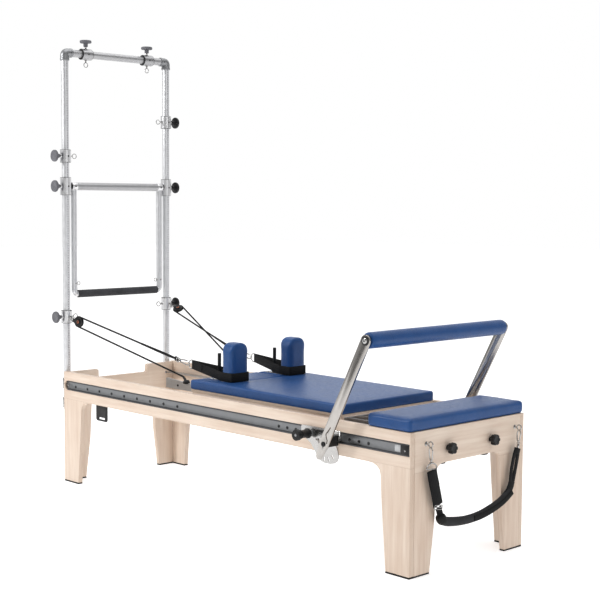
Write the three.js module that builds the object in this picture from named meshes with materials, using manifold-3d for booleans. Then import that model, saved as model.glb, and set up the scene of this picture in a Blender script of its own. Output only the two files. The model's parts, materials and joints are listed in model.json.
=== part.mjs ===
// A pilates reformer with a tower. Millimetres, +Z up, +X runs from the tower to the foot end.
// Every piece is drawn in the bed's own frame (x = 0 at the tower end, y = 0 in the middle of the
// bed, z = 0 on the floor). The last lines move the whole machine so that its origin is the middle
// of its footprint.
import * as THREE from 'three';
import { mergeVertices } from 'three/addons/utils/BufferGeometryUtils.js';
import Module from 'manifold-3d';

const wasm = await Module();
wasm.setup();

// ---- driving dimensions -------------------------------------------------------------------
const GAP = 0.3; // between pieces that touch
const RUNNING = 0.1; // radial play of a turning or sliding fit
const BORE_SIDES = 24; // enough facets for a pin to turn freely in its bore

const BED_LENGTH = 2410;
const BED_HALF_WIDTH = 363;
const BED_HEIGHT = 578;
const SIDE_THICKNESS = 26;
const END_THICKNESS = 24;
const PAD_FOOT = 7; // rubber under the legs
const RAIL_BOTTOM = 434.5;
const INNER_FACE = BED_HALF_WIDTH - SIDE_THICKNESS;

const TRACK_BOTTOM = 484;
const TRACK_TOP = 532.5;
const TRACK_DEPTH = 12;
const TRACK_START = 6;
const TRACK_END = 2404;
const TRACK_WALL = 3;
const LIP = 6;
const HOLE_HEIGHT = 505;
const HOLE_RADIUS = 4.8;
const FINE_HOLES = { last: 2178.5, pitch: -53, count: 11 };
const COARSE_HOLES = { last: 943.6, pitch: -106, count: 9 };

const WHEEL_RADIUS = 24;
const WHEEL_AXIS_Z = 545;
const WHEEL_X = [1150, 1830];
const RAIL_LEDGE_TOP = WHEEL_AXIS_Z - WHEEL_RADIUS - GAP;

const CARRIAGE_START = 965;
const CARRIAGE_END = 1968;
const CARRIAGE_HALF_WIDTH = 297;
const BOARD_BOTTOM = 574;
const PAD_BOTTOM = 586;
const PAD_TOP = 630;
const HEADREST_HALF_WIDTH = 128;
const HEADREST_END = 1165;

const REST_Y = 184;
const REST_WIDTH = 102;
const REST_START = 1125;
const REST_END = 1199;
const REST_TOP = 815;
const POST = { x: 1040, y: 177, top: 753, radius: 8.5 };
const PLATE_THICKNESS = 3;

const TOWER_X = -23;
const UPRIGHT_Y = 327.6;
const TUBE_RADIUS = 19.25;
const TUBE_BORE = 16.5;
const TUBE_SIDES = 16;
const TOWER_BAR_Z = 2230;
const UPRIGHT_BOTTOM = 388;
const COLLAR_RADIUS = 29;
const SMALL_COLLAR = 66;
const PIVOT_COLLAR = 91;
const PIVOT_Z = 1543;
const EYE_COLLAR_Z = { near: 1699, far: 1902 };
const PULLEY_COLLAR_Z = { near: 862, far: 898 };
const TOP_COLLAR_Y = 198;
const KNOB_REACH = 74; // collar axis to the knob's outer face
const EYE_REACH = 68; // collar axis to the tip of its ring

const SWING_HALF_WIDTH = 278.5;
const SWING_TUBE = 17;
const SWING_TOP_TUBE = 20.5;
const SWING_GRIP_Z = 979;
const SWING_PIN = 8;

const FOOTBAR_PIVOT = { x: 2008, z: 489 };
const FOOTBAR_LEAN = THREE.MathUtils.degToRad(27.4);
const FOOTBAR_LENGTH = 496;
const ARM_WIDTH = 48;
const ARM_INNER = 432;
const ARM_OUTER = 440;
const FOOTBAR_PIN = 6;
const BRACKET_OUTER = BED_HALF_WIDTH + GAP + PLATE_THICKNESS;
const BRACKET_SLOTS = { x: 1946, z: 473 }; // middle of the fan of slots in the side plate
const LOCK_X = 1860.5;
const LOCK_Z = 507;

const SPRING_BAR_X = 2340;
const SPRING_Z = 500;
const SPRING_RADIUS = 11;
const SPRING_ROWS = [-150, -75, 0, 75, 150];
const ANCHOR_X = 1560;
const STRAP_X = BED_LENGTH + 24;
const STRAP_EYES = [-271, 300];
const STAR_Y = 137;
const STAR_Z = 494;

const ROPE_RADIUS = 3.5;
const SHEAVE_RADIUS = 26;

// ---- materials ----------------------------------------------------------------------------
const look = (color, roughness, metalness = 0) => () =>
  new THREE.MeshStandardMaterial({ color, roughness, metalness });
const MAPLE = look(0xe6d8c6, 0.55);
const VINYL = look(0x2f5297, 0.5);
const ALUMINIUM = look(0xc9ccd1, 0.35, 0.8);
const ANODISED = look(0x6f7277, 0.4, 0.7);
const STEEL = look(0xb9bbbd, 0.25, 0.9);
const CAST = look(0x5b5e62, 0.5, 0.4);
const BLACK = look(0x1b1b1d, 0.6);
const FOAM = look(0x3c3c3f, 0.8);

// ---- solids -------------------------------------------------------------------------------

/** Merged triangles of a closed geometry, wound so that the faces point out. */
function triangles(geometry) {
  const bare = geometry.clone();
  bare.deleteAttribute('normal');
  bare.deleteAttribute('uv');
  const merged = mergeVertices(bare, 1e-3);
  const place = merged.attributes.position;
  const corners = [];
  let volume = 0;
  for (let i = 0; i < merged.index.count; i += 3) {
    const [a, b, c] = [0, 1, 2].map((k) => merged.index.getX(i + k));
    if (a === b || b === c || c === a) continue;
    corners.push(a, b, c);
    const [u, v, w] = [a, b, c].map((k) => new THREE.Vector3().fromBufferAttribute(place, k));
    volume += u.dot(v.cross(w));
  }
  if (volume < 0) {
    for (let i = 0; i < corners.length; i += 3) {
      [corners[i], corners[i + 1]] = [corners[i + 1], corners[i]];
    }
  }
  return { vertices: new Float32Array(place.array), corners: new Uint32Array(corners) };
}

function toSolid(geometry) {
  const { vertices, corners } = triangles(geometry);
  return new wasm.Manifold(
    new wasm.Mesh({ numProp: 3, vertProperties: vertices, triVerts: corners }),
  );
}

function toGeometry(solid) {
  const mesh = solid.getMesh();
  const geometry = new THREE.BufferGeometry();
  geometry.setAttribute('position', new THREE.BufferAttribute(mesh.vertProperties, 3));
  geometry.setIndex(new THREE.BufferAttribute(mesh.triVerts, 1));
  geometry.computeVertexNormals();
  return geometry;
}

function join(...geometries) {
  return toGeometry(geometries.map(toSolid).reduce((whole, piece) => whole.add(piece)));
}

function cut(geometry, ...tools) {
  return toGeometry(tools.map(toSolid).reduce((whole, tool) => whole.subtract(tool), toSolid(geometry)));
}

function keep(geometry, region) {
  return toGeometry(toSolid(geometry).intersect(toSolid(region)));
}

/** The same piece with its faces wound outwards, for shapes that need no cut or join. */
function whole(geometry) {
  return toGeometry(toSolid(geometry));
}

// ---- shapes -------------------------------------------------------------------------------

/** A box between two corners. */
function box(x0, x1, y0, y1, z0, z1) {
  const [low, high] = [[x0, y0, z0], [x1, y1, z1]];
  const size = high.map((value, axis) => Math.abs(value - low[axis]));
  const middle = high.map((value, axis) => (value + low[axis]) / 2);
  return new THREE.BoxGeometry(...size).translate(...middle);
}

/** Turns a geometry whose axis is +Z so that the axis is the named one. */
function along(axis, geometry) {
  if (axis === 'x') return geometry.rotateY(Math.PI / 2);
  if (axis === 'y') return geometry.rotateX(-Math.PI / 2);
  return geometry;
}

/** A turned piece: profile points are [radius, height], the axis is x, y or z. */
function turned(axis, profile, sides = 16) {
  const points = profile.map(([radius, height]) => new THREE.Vector2(radius, height));
  return along(axis, new THREE.LatheGeometry(points, sides).rotateX(Math.PI / 2));
}

function rod(axis, radius, from, to, sides = 16) {
  return turned(axis, [[0, from], [radius, from], [radius, to], [0, to]], sides);
}

function ring(axis, inner, outer, from, to, sides = TUBE_SIDES) {
  return turned(axis, [[inner, from], [outer, from], [outer, to], [inner, to], [inner, from]], sides);
}

function extruded(shape, depth, curveSegments = 4) {
  return new THREE.ExtrudeGeometry(shape, { depth, bevelEnabled: false, curveSegments });
}

/** A plate drawn in x and z, between two values of y. */
function plateXZ(shape, y0, y1, curveSegments) {
  const thickness = Math.abs(y1 - y0);
  return extruded(shape, thickness, curveSegments).rotateX(Math.PI / 2).translate(0, Math.max(y0, y1), 0);
}

/** A plate drawn in y and z, between two values of x. */
function plateYZ(shape, x0, x1, curveSegments) {
  const turn = new THREE.Matrix4().makeBasis(
    new THREE.Vector3(0, 1, 0),
    new THREE.Vector3(0, 0, 1),
    new THREE.Vector3(1, 0, 0),
  );
  return extruded(shape, x1 - x0, curveSegments).applyMatrix4(turn).translate(x0, 0, 0);
}

/** Corners in either order; the shape always runs anticlockwise, so that its holes stay holes. */
function polygon(corners) {
  const points = corners.map(([x, y]) => new THREE.Vector2(x, y));
  return new THREE.Shape(THREE.ShapeUtils.isClockWise(points) ? points.reverse() : points);
}

function roundedRectangle(x0, x1, y0, y1, radius) {
  const shape = new THREE.Shape();
  shape.absarc(x1 - radius, y0 + radius, radius, -Math.PI / 2, 0);
  shape.absarc(x1 - radius, y1 - radius, radius, 0, Math.PI / 2);
  shape.absarc(x0 + radius, y1 - radius, radius, Math.PI / 2, Math.PI);
  shape.absarc(x0 + radius, y0 + radius, radius, Math.PI, Math.PI * 1.5);
  shape.closePath();
  return shape;
}

function disc(x, y, radius) {
  return new THREE.Path().absarc(x, y, radius, 0, Math.PI * 2);
}

/** A slot of even width along a bent line. */
function slot(line, width) {
  const points = line.map(([x, y]) => new THREE.Vector2(x, y));
  const side = (sign) =>
    points.map((point, i) => {
      const before = points[Math.max(i - 1, 0)];
      const after = points[Math.min(i + 1, points.length - 1)];
      const heading = after.clone().sub(before).normalize();
      return point.clone().add(new THREE.Vector2(-heading.y, heading.x).multiplyScalar((sign * width) / 2));
    });
  return new THREE.Path([...side(1), ...side(-1).reverse()]);
}

/** An upholstered slab with rolled edges. */
function cushion(shape, z0, z1, roll, curveSegments = 3) {
  const options = {
    depth: z1 - z0 - 2 * roll,
    bevelThickness: roll,
    bevelSize: roll,
    bevelOffset: -roll,
    bevelSegments: 2,
    curveSegments,
  };
  return new THREE.ExtrudeGeometry(shape, options).translate(0, 0, z0 + roll);
}

/** A path that runs straight from point to point, so that a tube bends only at the points. */
class BentLine extends THREE.Curve {
  constructor(points) {
    super();
    this.points = points;
  }

  getPoint(t, target = new THREE.Vector3()) {
    const place = t * (this.points.length - 1);
    const index = Math.min(Math.floor(place), this.points.length - 2);
    return target.lerpVectors(this.points[index], this.points[index + 1], place - index);
  }

  getPointAt(u, target) {
    return this.getPoint(u, target);
  }

  getTangentAt(u, target = new THREE.Vector3()) {
    const step = 0.5 / (this.points.length - 1);
    const before = this.getPoint(Math.max(u - step, 0));
    return this.getPoint(Math.min(u + step, 1), target).sub(before).normalize();
  }
}

/** A round tube of one radius through the given points. */
function tubeAlong(points, radius, sides = 8) {
  const corners = Array.from({ length: sides }, (_, i) => {
    const turn = (i / sides) * Math.PI * 2;
    return [radius * Math.cos(turn), radius * Math.sin(turn)];
  });
  const extrudePath = new BentLine(points.map((point) => new THREE.Vector3(...point)));
  return new THREE.ExtrudeGeometry(polygon(corners), { steps: points.length - 1, extrudePath });
}

function eyelet(radius, wire) {
  return new THREE.TorusGeometry(radius, wire, 5, 9);
}

// ---- the machine --------------------------------------------------------------------------
const machine = new THREE.Group();

function add(name, material, geometry, position = [0, 0, 0]) {
  const mesh = new THREE.Mesh(geometry, material());
  mesh.name = name;
  mesh.position.set(...position);
  machine.add(mesh);
}

/** Both sides of the bed: near is at negative y. */
const SIDES = [
  { side: 'near', sign: -1 },
  { side: 'far', sign: 1 },
];

/** A slab of the bed measured outwards from its middle: [inner, outer] becomes y0, y1 on that side. */
const across = (sign, inner, outer) => (sign > 0 ? [inner, outer] : [-outer, -inner]);

function trackGroove(start, radius) {
  const middle = (TRACK_BOTTOM + TRACK_TOP) / 2;
  const shape = new THREE.Shape();
  shape.absarc(start + radius, middle, radius, Math.PI / 2, Math.PI * 1.5);
  shape.lineTo(TRACK_END - (start - TRACK_START), middle - radius);
  shape.lineTo(TRACK_END - (start - TRACK_START), middle + radius);
  shape.closePath();
  return shape;
}

function sidePanelOutline() {
  const leg = (flip) => {
    const x = (value) => (flip ? BED_LENGTH - value : value);
    return { foot: [x(126), PAD_FOOT], knee: [x(151), 290], hip: [x(158), 391], top: [x(228), RAIL_BOTTOM], inner: x(161) };
  };
  const [left, right] = [leg(false), leg(true)];
  const shape = new THREE.Shape();
  shape.moveTo(0, PAD_FOOT);
  shape.lineTo(...left.foot);
  shape.lineTo(...left.knee);
  shape.lineTo(...left.hip);
  shape.quadraticCurveTo(left.inner, RAIL_BOTTOM, ...left.top);
  shape.lineTo(...right.top);
  shape.quadraticCurveTo(right.inner, RAIL_BOTTOM, ...right.hip);
  shape.lineTo(...right.knee);
  shape.lineTo(...right.foot);
  shape.lineTo(BED_LENGTH, PAD_FOOT);
  shape.lineTo(BED_LENGTH, BED_HEIGHT);
  shape.lineTo(0, BED_HEIGHT);
  shape.closePath();
  return shape;
}

/** Legs and lower edge shared by both end panels, drawn from the top left corner down and round. */
function endPanelLegs(shape, top) {
  const half = INNER_FACE - GAP;
  shape.moveTo(-half, top);
  shape.lineTo(-half, PAD_FOOT);
  shape.lineTo(-242, PAD_FOOT);
  shape.lineTo(-215, 212);
  shape.lineTo(-205, 405);
  shape.quadraticCurveTo(-203, 437, -155, 437);
  shape.lineTo(155, 437);
  shape.quadraticCurveTo(203, 437, 205, 405);
  shape.lineTo(215, 212);
  shape.lineTo(242, PAD_FOOT);
  shape.lineTo(half, PAD_FOOT);
  shape.lineTo(half, top);
}

function headPanelOutline() {
  const [top, dip, corner] = [575, 532, 12];
  const [outer, inner] = [160, 148];
  const shape = new THREE.Shape();
  endPanelLegs(shape, top);
  shape.lineTo(outer + corner, top);
  shape.quadraticCurveTo(outer, top, outer, top - corner);
  shape.lineTo(outer, dip + corner);
  shape.quadraticCurveTo(outer, dip, inner, dip);
  shape.lineTo(-inner, dip);
  shape.quadraticCurveTo(-outer, dip, -outer, dip + corner);
  shape.lineTo(-outer, top - corner);
  shape.quadraticCurveTo(-outer, top, -outer - corner, top);
  shape.closePath();
  return shape;
}

function buildBed() {
  for (const { side, sign } of SIDES) {
    const panel = plateXZ(sidePanelOutline(), ...across(sign, INNER_FACE, BED_HALF_WIDTH));
    const radius = (TRACK_TOP - TRACK_BOTTOM) / 2;
    const floor = BED_HALF_WIDTH - TRACK_DEPTH;
    const groove = plateXZ(trackGroove(TRACK_START, radius), ...across(sign, floor, BED_HALF_WIDTH + 5));
    add(`side_panel_${side}`, MAPLE, cut(panel, groove));
    add(`outer_track_${side}`, ANODISED, outerTrack(sign, radius, floor));
    add(`inner_rail_${side}`, ALUMINIUM, innerRail(sign));
  }
  add('head_end_panel', MAPLE, whole(plateYZ(headPanelOutline(), 0, END_THICKNESS)));
  add('foot_end_panel', MAPLE, footEndPanel());
  for (const end of ['head', 'foot']) {
    for (const { side, sign } of SIDES) {
      add(`foot_pad_${end}_${side}`, BLACK, footPad(end, sign));
    }
  }
}

/** A channel let into the side: its web carries the locking holes, its two lips hold the slider. */
function outerTrack(sign, grooveRadius, floor) {
  const shape = trackGroove(TRACK_START + GAP, grooveRadius - GAP);
  for (const { last, pitch, count } of [FINE_HOLES, COARSE_HOLES]) {
    for (let i = 0; i < count; i += 1) {
      shape.holes.push(disc(last + i * pitch, HOLE_HEIGHT, HOLE_RADIUS));
    }
  }
  const web = plateXZ(shape, ...across(sign, floor + GAP, floor + TRACK_WALL), 2);
  const start = TRACK_START + grooveRadius;
  const lips = [
    [TRACK_BOTTOM + GAP, TRACK_BOTTOM + LIP],
    [TRACK_TOP - LIP, TRACK_TOP - GAP],
  ].map(([low, high]) => box(start, TRACK_END - GAP, ...across(sign, floor + 1, BED_HALF_WIDTH), low, high));
  const endBlock = box(
    TRACK_END - 47, TRACK_END - GAP, ...across(sign, floor + 1, BED_HALF_WIDTH), TRACK_BOTTOM + GAP, TRACK_TOP - GAP,
  );
  return join(web, ...lips, endBlock);
}

/** Flat runway along the inside of the bed: the carriage wheels run on it. */
function innerRail(sign) {
  const [start, end] = [END_THICKNESS + GAP, BED_LENGTH - END_THICKNESS - GAP];
  return whole(box(start, end, ...across(sign, 292, INNER_FACE - GAP), RAIL_LEDGE_TOP - 4, RAIL_LEDGE_TOP));
}

/** Foot end of the bed, drilled for the knob stems, with the two screw eyes of the foot strap. */
function footEndPanel() {
  const shape = new THREE.Shape();
  endPanelLegs(shape, BED_HEIGHT);
  shape.closePath();
  for (const { sign } of SIDES) {
    shape.holes.push(disc(sign * STAR_Y, STAR_Z, 6));
  }
  const screwEyes = STRAP_EYES.flatMap((y) => [
    eyelet(10, 2.5).rotateX(Math.PI / 2).translate(STRAP_X, y, 526),
    rod('x', 3, BED_LENGTH - 5, STRAP_X - 9, 8).translate(0, y, 526),
  ]);
  return join(plateYZ(shape, BED_LENGTH - END_THICKNESS, BED_LENGTH), ...screwEyes);
}

function footPad(end, sign) {
  const corner = end === 'head' ? 0 : BED_LENGTH;
  const inward = end === 'head' ? 1 : -1;
  const plan = polygon([
    [corner, sign * BED_HALF_WIDTH],
    [corner + inward * 126, sign * BED_HALF_WIDTH],
    [corner + inward * 126, sign * INNER_FACE],
    [corner + inward * END_THICKNESS, sign * INNER_FACE],
    [corner + inward * END_THICKNESS, sign * 242],
    [corner, sign * 242],
  ]);
  return whole(extruded(plan, PAD_FOOT - GAP));
}

/** What hangs on the bed: the foot platform, the hanger plate, the spring bar and its two knobs. */
function buildBedFittings() {
  const platform = roundedRectangle(2174, BED_LENGTH, -BED_HALF_WIDTH - 2, BED_HALF_WIDTH + 2, 22);
  add('foot_platform_pad', VINYL, whole(cushion(platform, BED_HEIGHT + GAP, PAD_TOP, 16)));

  const hanger = roundedRectangle(253, 350, 350, 480, 12);
  hanger.holes.push(slot([[278, 364], [328, 364]], 10));
  add('hanger_plate', BLACK, whole(plateXZ(hanger, -INNER_FACE + GAP, -INNER_FACE + 4)));

  add('spring_bar', BLACK, springBar());
  for (const { side, sign } of SIDES) {
    add(`star_knob_${side}`, BLACK, starKnob(), [0, sign * STAR_Y, STAR_Z]);
  }
  add('spring_pack', STEEL, springPack());
}

function springBar() {
  const back = BED_LENGTH - END_THICKNESS - GAP;
  const bar = box(SPRING_BAR_X, SPRING_BAR_X + 12, -172, 172, SPRING_Z - 12, SPRING_Z + 12);
  const hangers = SIDES.map(({ sign }) =>
    box(SPRING_BAR_X + 6, back, sign * STAR_Y - 15, sign * STAR_Y + 15, 424, SPRING_Z + 20),
  );
  const bores = SIDES.map(({ sign }) => rod('x', 5 + RUNNING, 2358, back + 5, BORE_SIDES).translate(0, sign * STAR_Y, STAR_Z));
  return cut(join(bar, ...hangers), ...bores);
}

/** A lobed hand knob on a stem that screws through the foot panel into the spring bar. */
function starKnob() {
  const lobes = Array.from({ length: 30 }, (_, i) => {
    const turn = (i / 30) * Math.PI * 2;
    const radius = 20.5 + 3.5 * Math.cos(6 * turn);
    return [radius * Math.cos(turn), radius * Math.sin(turn)];
  });
  const head = plateYZ(polygon(lobes), BED_LENGTH + 12, BED_LENGTH + 35);
  const neck = rod('x', 11, BED_LENGTH + GAP, BED_LENGTH + 13, 12);
  const stem = rod('x', 5, 2360, BED_LENGTH + 5, 12);
  return join(head, neck, stem);
}

/** Five coil springs side by side, drawn as their outer shape and held by one anchor strip. */
function springPack() {
  const strip = box(ANCHOR_X + GAP, ANCHOR_X + 10, -168, 168, SPRING_Z - 12, SPRING_Z + 12);
  const coils = SPRING_ROWS.map((y) =>
    turned('x', [
      [0, ANCHOR_X + 5], [SPRING_RADIUS, ANCHOR_X + 5], [SPRING_RADIUS, SPRING_BAR_X - 25],
      [3, SPRING_BAR_X - 22], [3, SPRING_BAR_X - GAP], [0, SPRING_BAR_X - GAP],
    ], 8).translate(0, y, SPRING_Z),
  );
  return join(strip, ...coils);
}

// ---- tower --------------------------------------------------------------------------------

function buildTower() {
  for (const { side, sign } of SIDES) {
    const upright = ring('z', TUBE_BORE, TUBE_RADIUS, UPRIGHT_BOTTOM, TOWER_BAR_Z - 20);
    add(`upright_${side}`, ALUMINIUM, whole(upright), [TOWER_X, sign * UPRIGHT_Y, 0]);
    add(`tower_bracket_${side}`, CAST, towerBracket(sign));
    add(`eye_collar_${side}`, ALUMINIUM, eyeCollar(sign), [TOWER_X, sign * UPRIGHT_Y, EYE_COLLAR_Z[side]]);
    add(`pulley_collar_${side}`, ALUMINIUM, pulleyCollar(sign), [TOWER_X, sign * UPRIGHT_Y, PULLEY_COLLAR_Z[side]]);
    add(`pivot_collar_${side}`, ALUMINIUM, pivotCollar(sign), [TOWER_X, sign * UPRIGHT_Y, PIVOT_Z]);
    add(`pivot_knob_${side}`, CAST, pivotKnob(sign), [TOWER_X, sign * UPRIGHT_Y, PIVOT_Z]);
    add(`top_collar_${side}`, ALUMINIUM, topCollar(), [TOWER_X, sign * TOP_COLLAR_Y, TOWER_BAR_Z]);
  }
  add('top_bar', ALUMINIUM, topBar(), [TOWER_X, 0, TOWER_BAR_Z]);
  add('swing_frame', ALUMINIUM, swingFrame(), [TOWER_X, 0, 0]);
  const grip = ring('y', 12.5 + GAP, 20, -SWING_HALF_WIDTH + 19, SWING_HALF_WIDTH - 19);
  add('swing_grip', FOAM, whole(grip), [TOWER_X, 0, SWING_GRIP_Z]);
}

/** Two saddles on one back plate clamp the upright to the head panel. */
function towerBracket(sign) {
  const saddles = [[382, 436], [484, 538]].map(([low, high]) =>
    ring('z', TUBE_RADIUS + GAP, TUBE_RADIUS + 5, low, high).translate(TOWER_X, sign * UPRIGHT_Y, 0),
  );
  const plate = box(TOWER_X + TUBE_RADIUS + GAP, -GAP, ...across(sign, UPRIGHT_Y - 34, UPRIGHT_Y + 34), 378, 542);
  const outside = box(TOWER_X - 40, -GAP, ...across(sign, UPRIGHT_Y - 40, UPRIGHT_Y + 40), 370, 550);
  return keep(join(plate, ...saddles), outside);
}

/** Round bar with a cast elbow at each end; each elbow has a socket for its upright. */
function topBar() {
  const bar = rod('y', TUBE_RADIUS, -UPRIGHT_Y + 20, UPRIGHT_Y - 20, TUBE_SIDES);
  const elbows = SIDES.flatMap(({ sign }) => [
    new THREE.SphereGeometry(23, 10, 6).translate(0, sign * UPRIGHT_Y, 0),
    rod('y', 23, ...across(sign, UPRIGHT_Y - 44, UPRIGHT_Y), TUBE_SIDES),
    rod('z', 23, -46, 0, TUBE_SIDES).translate(0, sign * UPRIGHT_Y, 0),
  ]);
  const sockets = SIDES.map(({ sign }) =>
    rod('z', TUBE_RADIUS + GAP, -60, -19, TUBE_SIDES).translate(0, sign * UPRIGHT_Y, 0),
  );
  return cut(join(bar, ...elbows), ...sockets);
}

function collarRing(axis, length) {
  return ring(axis, TUBE_RADIUS + RUNNING, COLLAR_RADIUS, -length / 2, length / 2);
}

/** A round clamp knob standing off a collar, its axis along +Z from the collar's own axis. */
function knobProfile(start) {
  return [
    [0, start], [5, start], [5, KNOB_REACH - 34], [31, KNOB_REACH - 13], [31, KNOB_REACH], [0, KNOB_REACH],
  ];
}

/** A ring on a short stem, pointing along +Z from the collar's own axis. */
function eyeOnStem(start) {
  const stem = rod('z', 4, start, EYE_REACH - 26, 8);
  const eye = eyelet(12, 2.2).rotateY(Math.PI / 2).translate(0, 0, EYE_REACH - 14);
  return join(stem, eye);
}

/** Points a piece that stands along +Z sideways: outwards from the bed for +1, inwards for -1. */
const sideways = (geometry, direction) => geometry.rotateX((-direction * Math.PI) / 2);

function eyeCollar(sign) {
  const knob = sideways(turned('z', knobProfile(24), 10), sign);
  const eye = sideways(eyeOnStem(24), -sign);
  return join(collarRing('z', SMALL_COLLAR), knob, eye);
}

function topCollar() {
  const eye = eyeOnStem(24).rotateX(Math.PI);
  return join(collarRing('y', 62), turned('z', knobProfile(24), 10), eye);
}

/** Eye collar with a second eye on its bed side that carries the rope pulley. */
function pulleyCollar(sign) {
  const knob = sideways(turned('z', knobProfile(24), 10), sign);
  const eye = sideways(eyeOnStem(24), -sign);
  const lug = rod('x', 6, 24, 44, 8);
  const post = rod('z', 5, -22, 6, 8).translate(44, 0, 0);
  return join(collarRing('z', SMALL_COLLAR), knob, eye, lug, post);
}

/** Tall collar with the pin that the swing frame hangs on and a threaded hole for its knob. */
function pivotCollar(sign) {
  const washer = sideways(rod('z', 18, 21.5, 31, 12), -sign);
  const pin = sideways(rod('z', SWING_PIN, 21.5, 60, 12), -sign);
  const knobHole = sideways(rod('z', 5 + RUNNING, 18, 40, BORE_SIDES), sign);
  return cut(join(collarRing('z', PIVOT_COLLAR), washer, pin), knobHole);
}

function pivotKnob(sign) {
  return whole(sideways(turned('z', knobProfile(22), 10), sign));
}

/** Push-through bar: two hanging tubes, a tube across the top and a round bar under the grip. */
function swingFrame() {
  const top = rod('y', SWING_TOP_TUBE, -SWING_HALF_WIDTH, SWING_HALF_WIDTH, 12).translate(0, 0, PIVOT_Z);
  const bottom = rod('y', 12.5, -SWING_HALF_WIDTH, SWING_HALF_WIDTH, 12).translate(0, 0, SWING_GRIP_Z);
  const arms = SIDES.flatMap(({ sign }) => [
    rod('z', SWING_TUBE, SWING_GRIP_Z, PIVOT_Z, 12).translate(0, sign * SWING_HALF_WIDTH, 0),
    new THREE.SphereGeometry(SWING_TUBE, 12, 6).rotateX(Math.PI / 2).translate(0, sign * SWING_HALF_WIDTH, SWING_GRIP_Z),
    rod('y', 22, ...across(sign, SWING_HALF_WIDTH - 17, SWING_HALF_WIDTH + SWING_TUBE), 12).translate(0, 0, PIVOT_Z),
  ]);
  const bores = SIDES.map(({ sign }) =>
    rod('y', SWING_PIN + RUNNING, ...across(sign, 265, 300), BORE_SIDES).translate(0, 0, PIVOT_Z),
  );
  return cut(join(top, bottom, ...arms), ...bores);
}

// ---- footbar ------------------------------------------------------------------------------

function buildFootbar() {
  add('footbar_frame', STEEL, footbarFrame(), [FOOTBAR_PIVOT.x, 0, FOOTBAR_PIVOT.z]);
  const pad = ring('y', 14 + GAP, 33.5, -ARM_INNER + 6, ARM_INNER - 6);
  const top = [
    FOOTBAR_PIVOT.x + FOOTBAR_LENGTH * Math.sin(FOOTBAR_LEAN), 0,
    FOOTBAR_PIVOT.z + FOOTBAR_LENGTH * Math.cos(FOOTBAR_LEAN),
  ];
  add('footbar_pad', VINYL, whole(pad), top);
  for (const { side, sign } of SIDES) {
    add(`footbar_bracket_${side}`, STEEL, footbarBracket(sign));
    add(`lock_knob_${side}`, BLACK, lockKnob(sign), [LOCK_X, 0, LOCK_Z]);
  }
}

/** One arm, drawn upright about its pivot, with its two guide slots. */
function armOutline() {
  const half = ARM_WIDTH / 2;
  const tail = { reach: 60, half: 15 };
  const shape = new THREE.Shape();
  shape.absarc(0, FOOTBAR_LENGTH, half, 0, Math.PI);
  shape.lineTo(-half, 0);
  shape.absarc(0, -tail.reach, tail.half, Math.PI, Math.PI * 2);
  shape.lineTo(half, 0);
  shape.closePath();
  shape.holes.push(slot([[3, 84], [-1, 66], [-7, 44], [2, 33], [12, 25], [15, 12]], 5));
  return shape;
}

function footbarFrame() {
  const arms = SIDES.map(({ sign }) => plateXZ(armOutline(), ...across(sign, ARM_INNER, ARM_OUTER)));
  const bar = rod('y', 14, -ARM_INNER - 4, ARM_INNER + 4, TUBE_SIDES).translate(0, 0, FOOTBAR_LENGTH);
  const bore = rod('y', FOOTBAR_PIN + RUNNING, -ARM_OUTER - 1, ARM_OUTER + 1, BORE_SIDES);
  return cut(join(bar, ...arms), bore).rotateY(FOOTBAR_LEAN);
}

function bracketOutline() {
  const shape = new THREE.Shape();
  shape.moveTo(2030, 535);
  shape.lineTo(1812, 535);
  shape.quadraticCurveTo(1800, 535, 1800, 520);
  shape.quadraticCurveTo(1800, 500, 1815, 488);
  shape.lineTo(1858, 464);
  shape.lineTo(1884, 434);
  shape.quadraticCurveTo(1900, 396, 1944, 391);
  shape.quadraticCurveTo(2018, 388, 2023, 424);
  shape.quadraticCurveTo(2022, 450, 2004, 476);
  shape.lineTo(2030, 520);
  shape.closePath();
  shape.holes.push(slot([[1888, 483], [1906, 487], [1914, 459], [1904, 445]], 6));
  for (const degrees of [-6, 17, 40]) {
    const turn = THREE.MathUtils.degToRad(degrees);
    const [dx, dz] = [Math.sin(turn), -Math.cos(turn)];
    const at = (radius) => [BRACKET_SLOTS.x + radius * dx, BRACKET_SLOTS.z + radius * dz];
    shape.holes.push(slot([at(56), at(74)], 6));
  }
  return shape;
}

/** Side plate with a runner in the track, the hole of the lock knob and the footbar's pivot. */
function footbarBracket(sign) {
  const plate = plateXZ(bracketOutline(), ...across(sign, BED_HALF_WIDTH + GAP, BRACKET_OUTER));
  const runner = box(1808, 2026, ...across(sign, BED_HALF_WIDTH - 8, BED_HALF_WIDTH + 1), 491.5, 525);
  const lockHole = rod('y', 5 + RUNNING, ...across(sign, BED_HALF_WIDTH - 15, BRACKET_OUTER + 5), BORE_SIDES)
    .translate(LOCK_X, 0, LOCK_Z);
  return cut(join(plate, runner, footbarPivot(sign)), lockHole);
}

/** Block that carries the arm clear of the side plate, with the pin that the arm turns on. */
function footbarPivot(sign) {
  const block = box(1974, 2020, ...across(sign, BRACKET_OUTER - 1, ARM_INNER - GAP), 472, 528);
  const pin = sideways(
    turned('z', [
      [0, ARM_INNER - 2], [FOOTBAR_PIN, ARM_INNER - 2], [FOOTBAR_PIN, ARM_OUTER + GAP],
      [11, ARM_OUTER + GAP], [9, ARM_OUTER + 5], [0, ARM_OUTER + 5],
    ]),
    sign,
  ).translate(FOOTBAR_PIVOT.x, 0, FOOTBAR_PIVOT.z);
  return join(block, pin);
}

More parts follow.
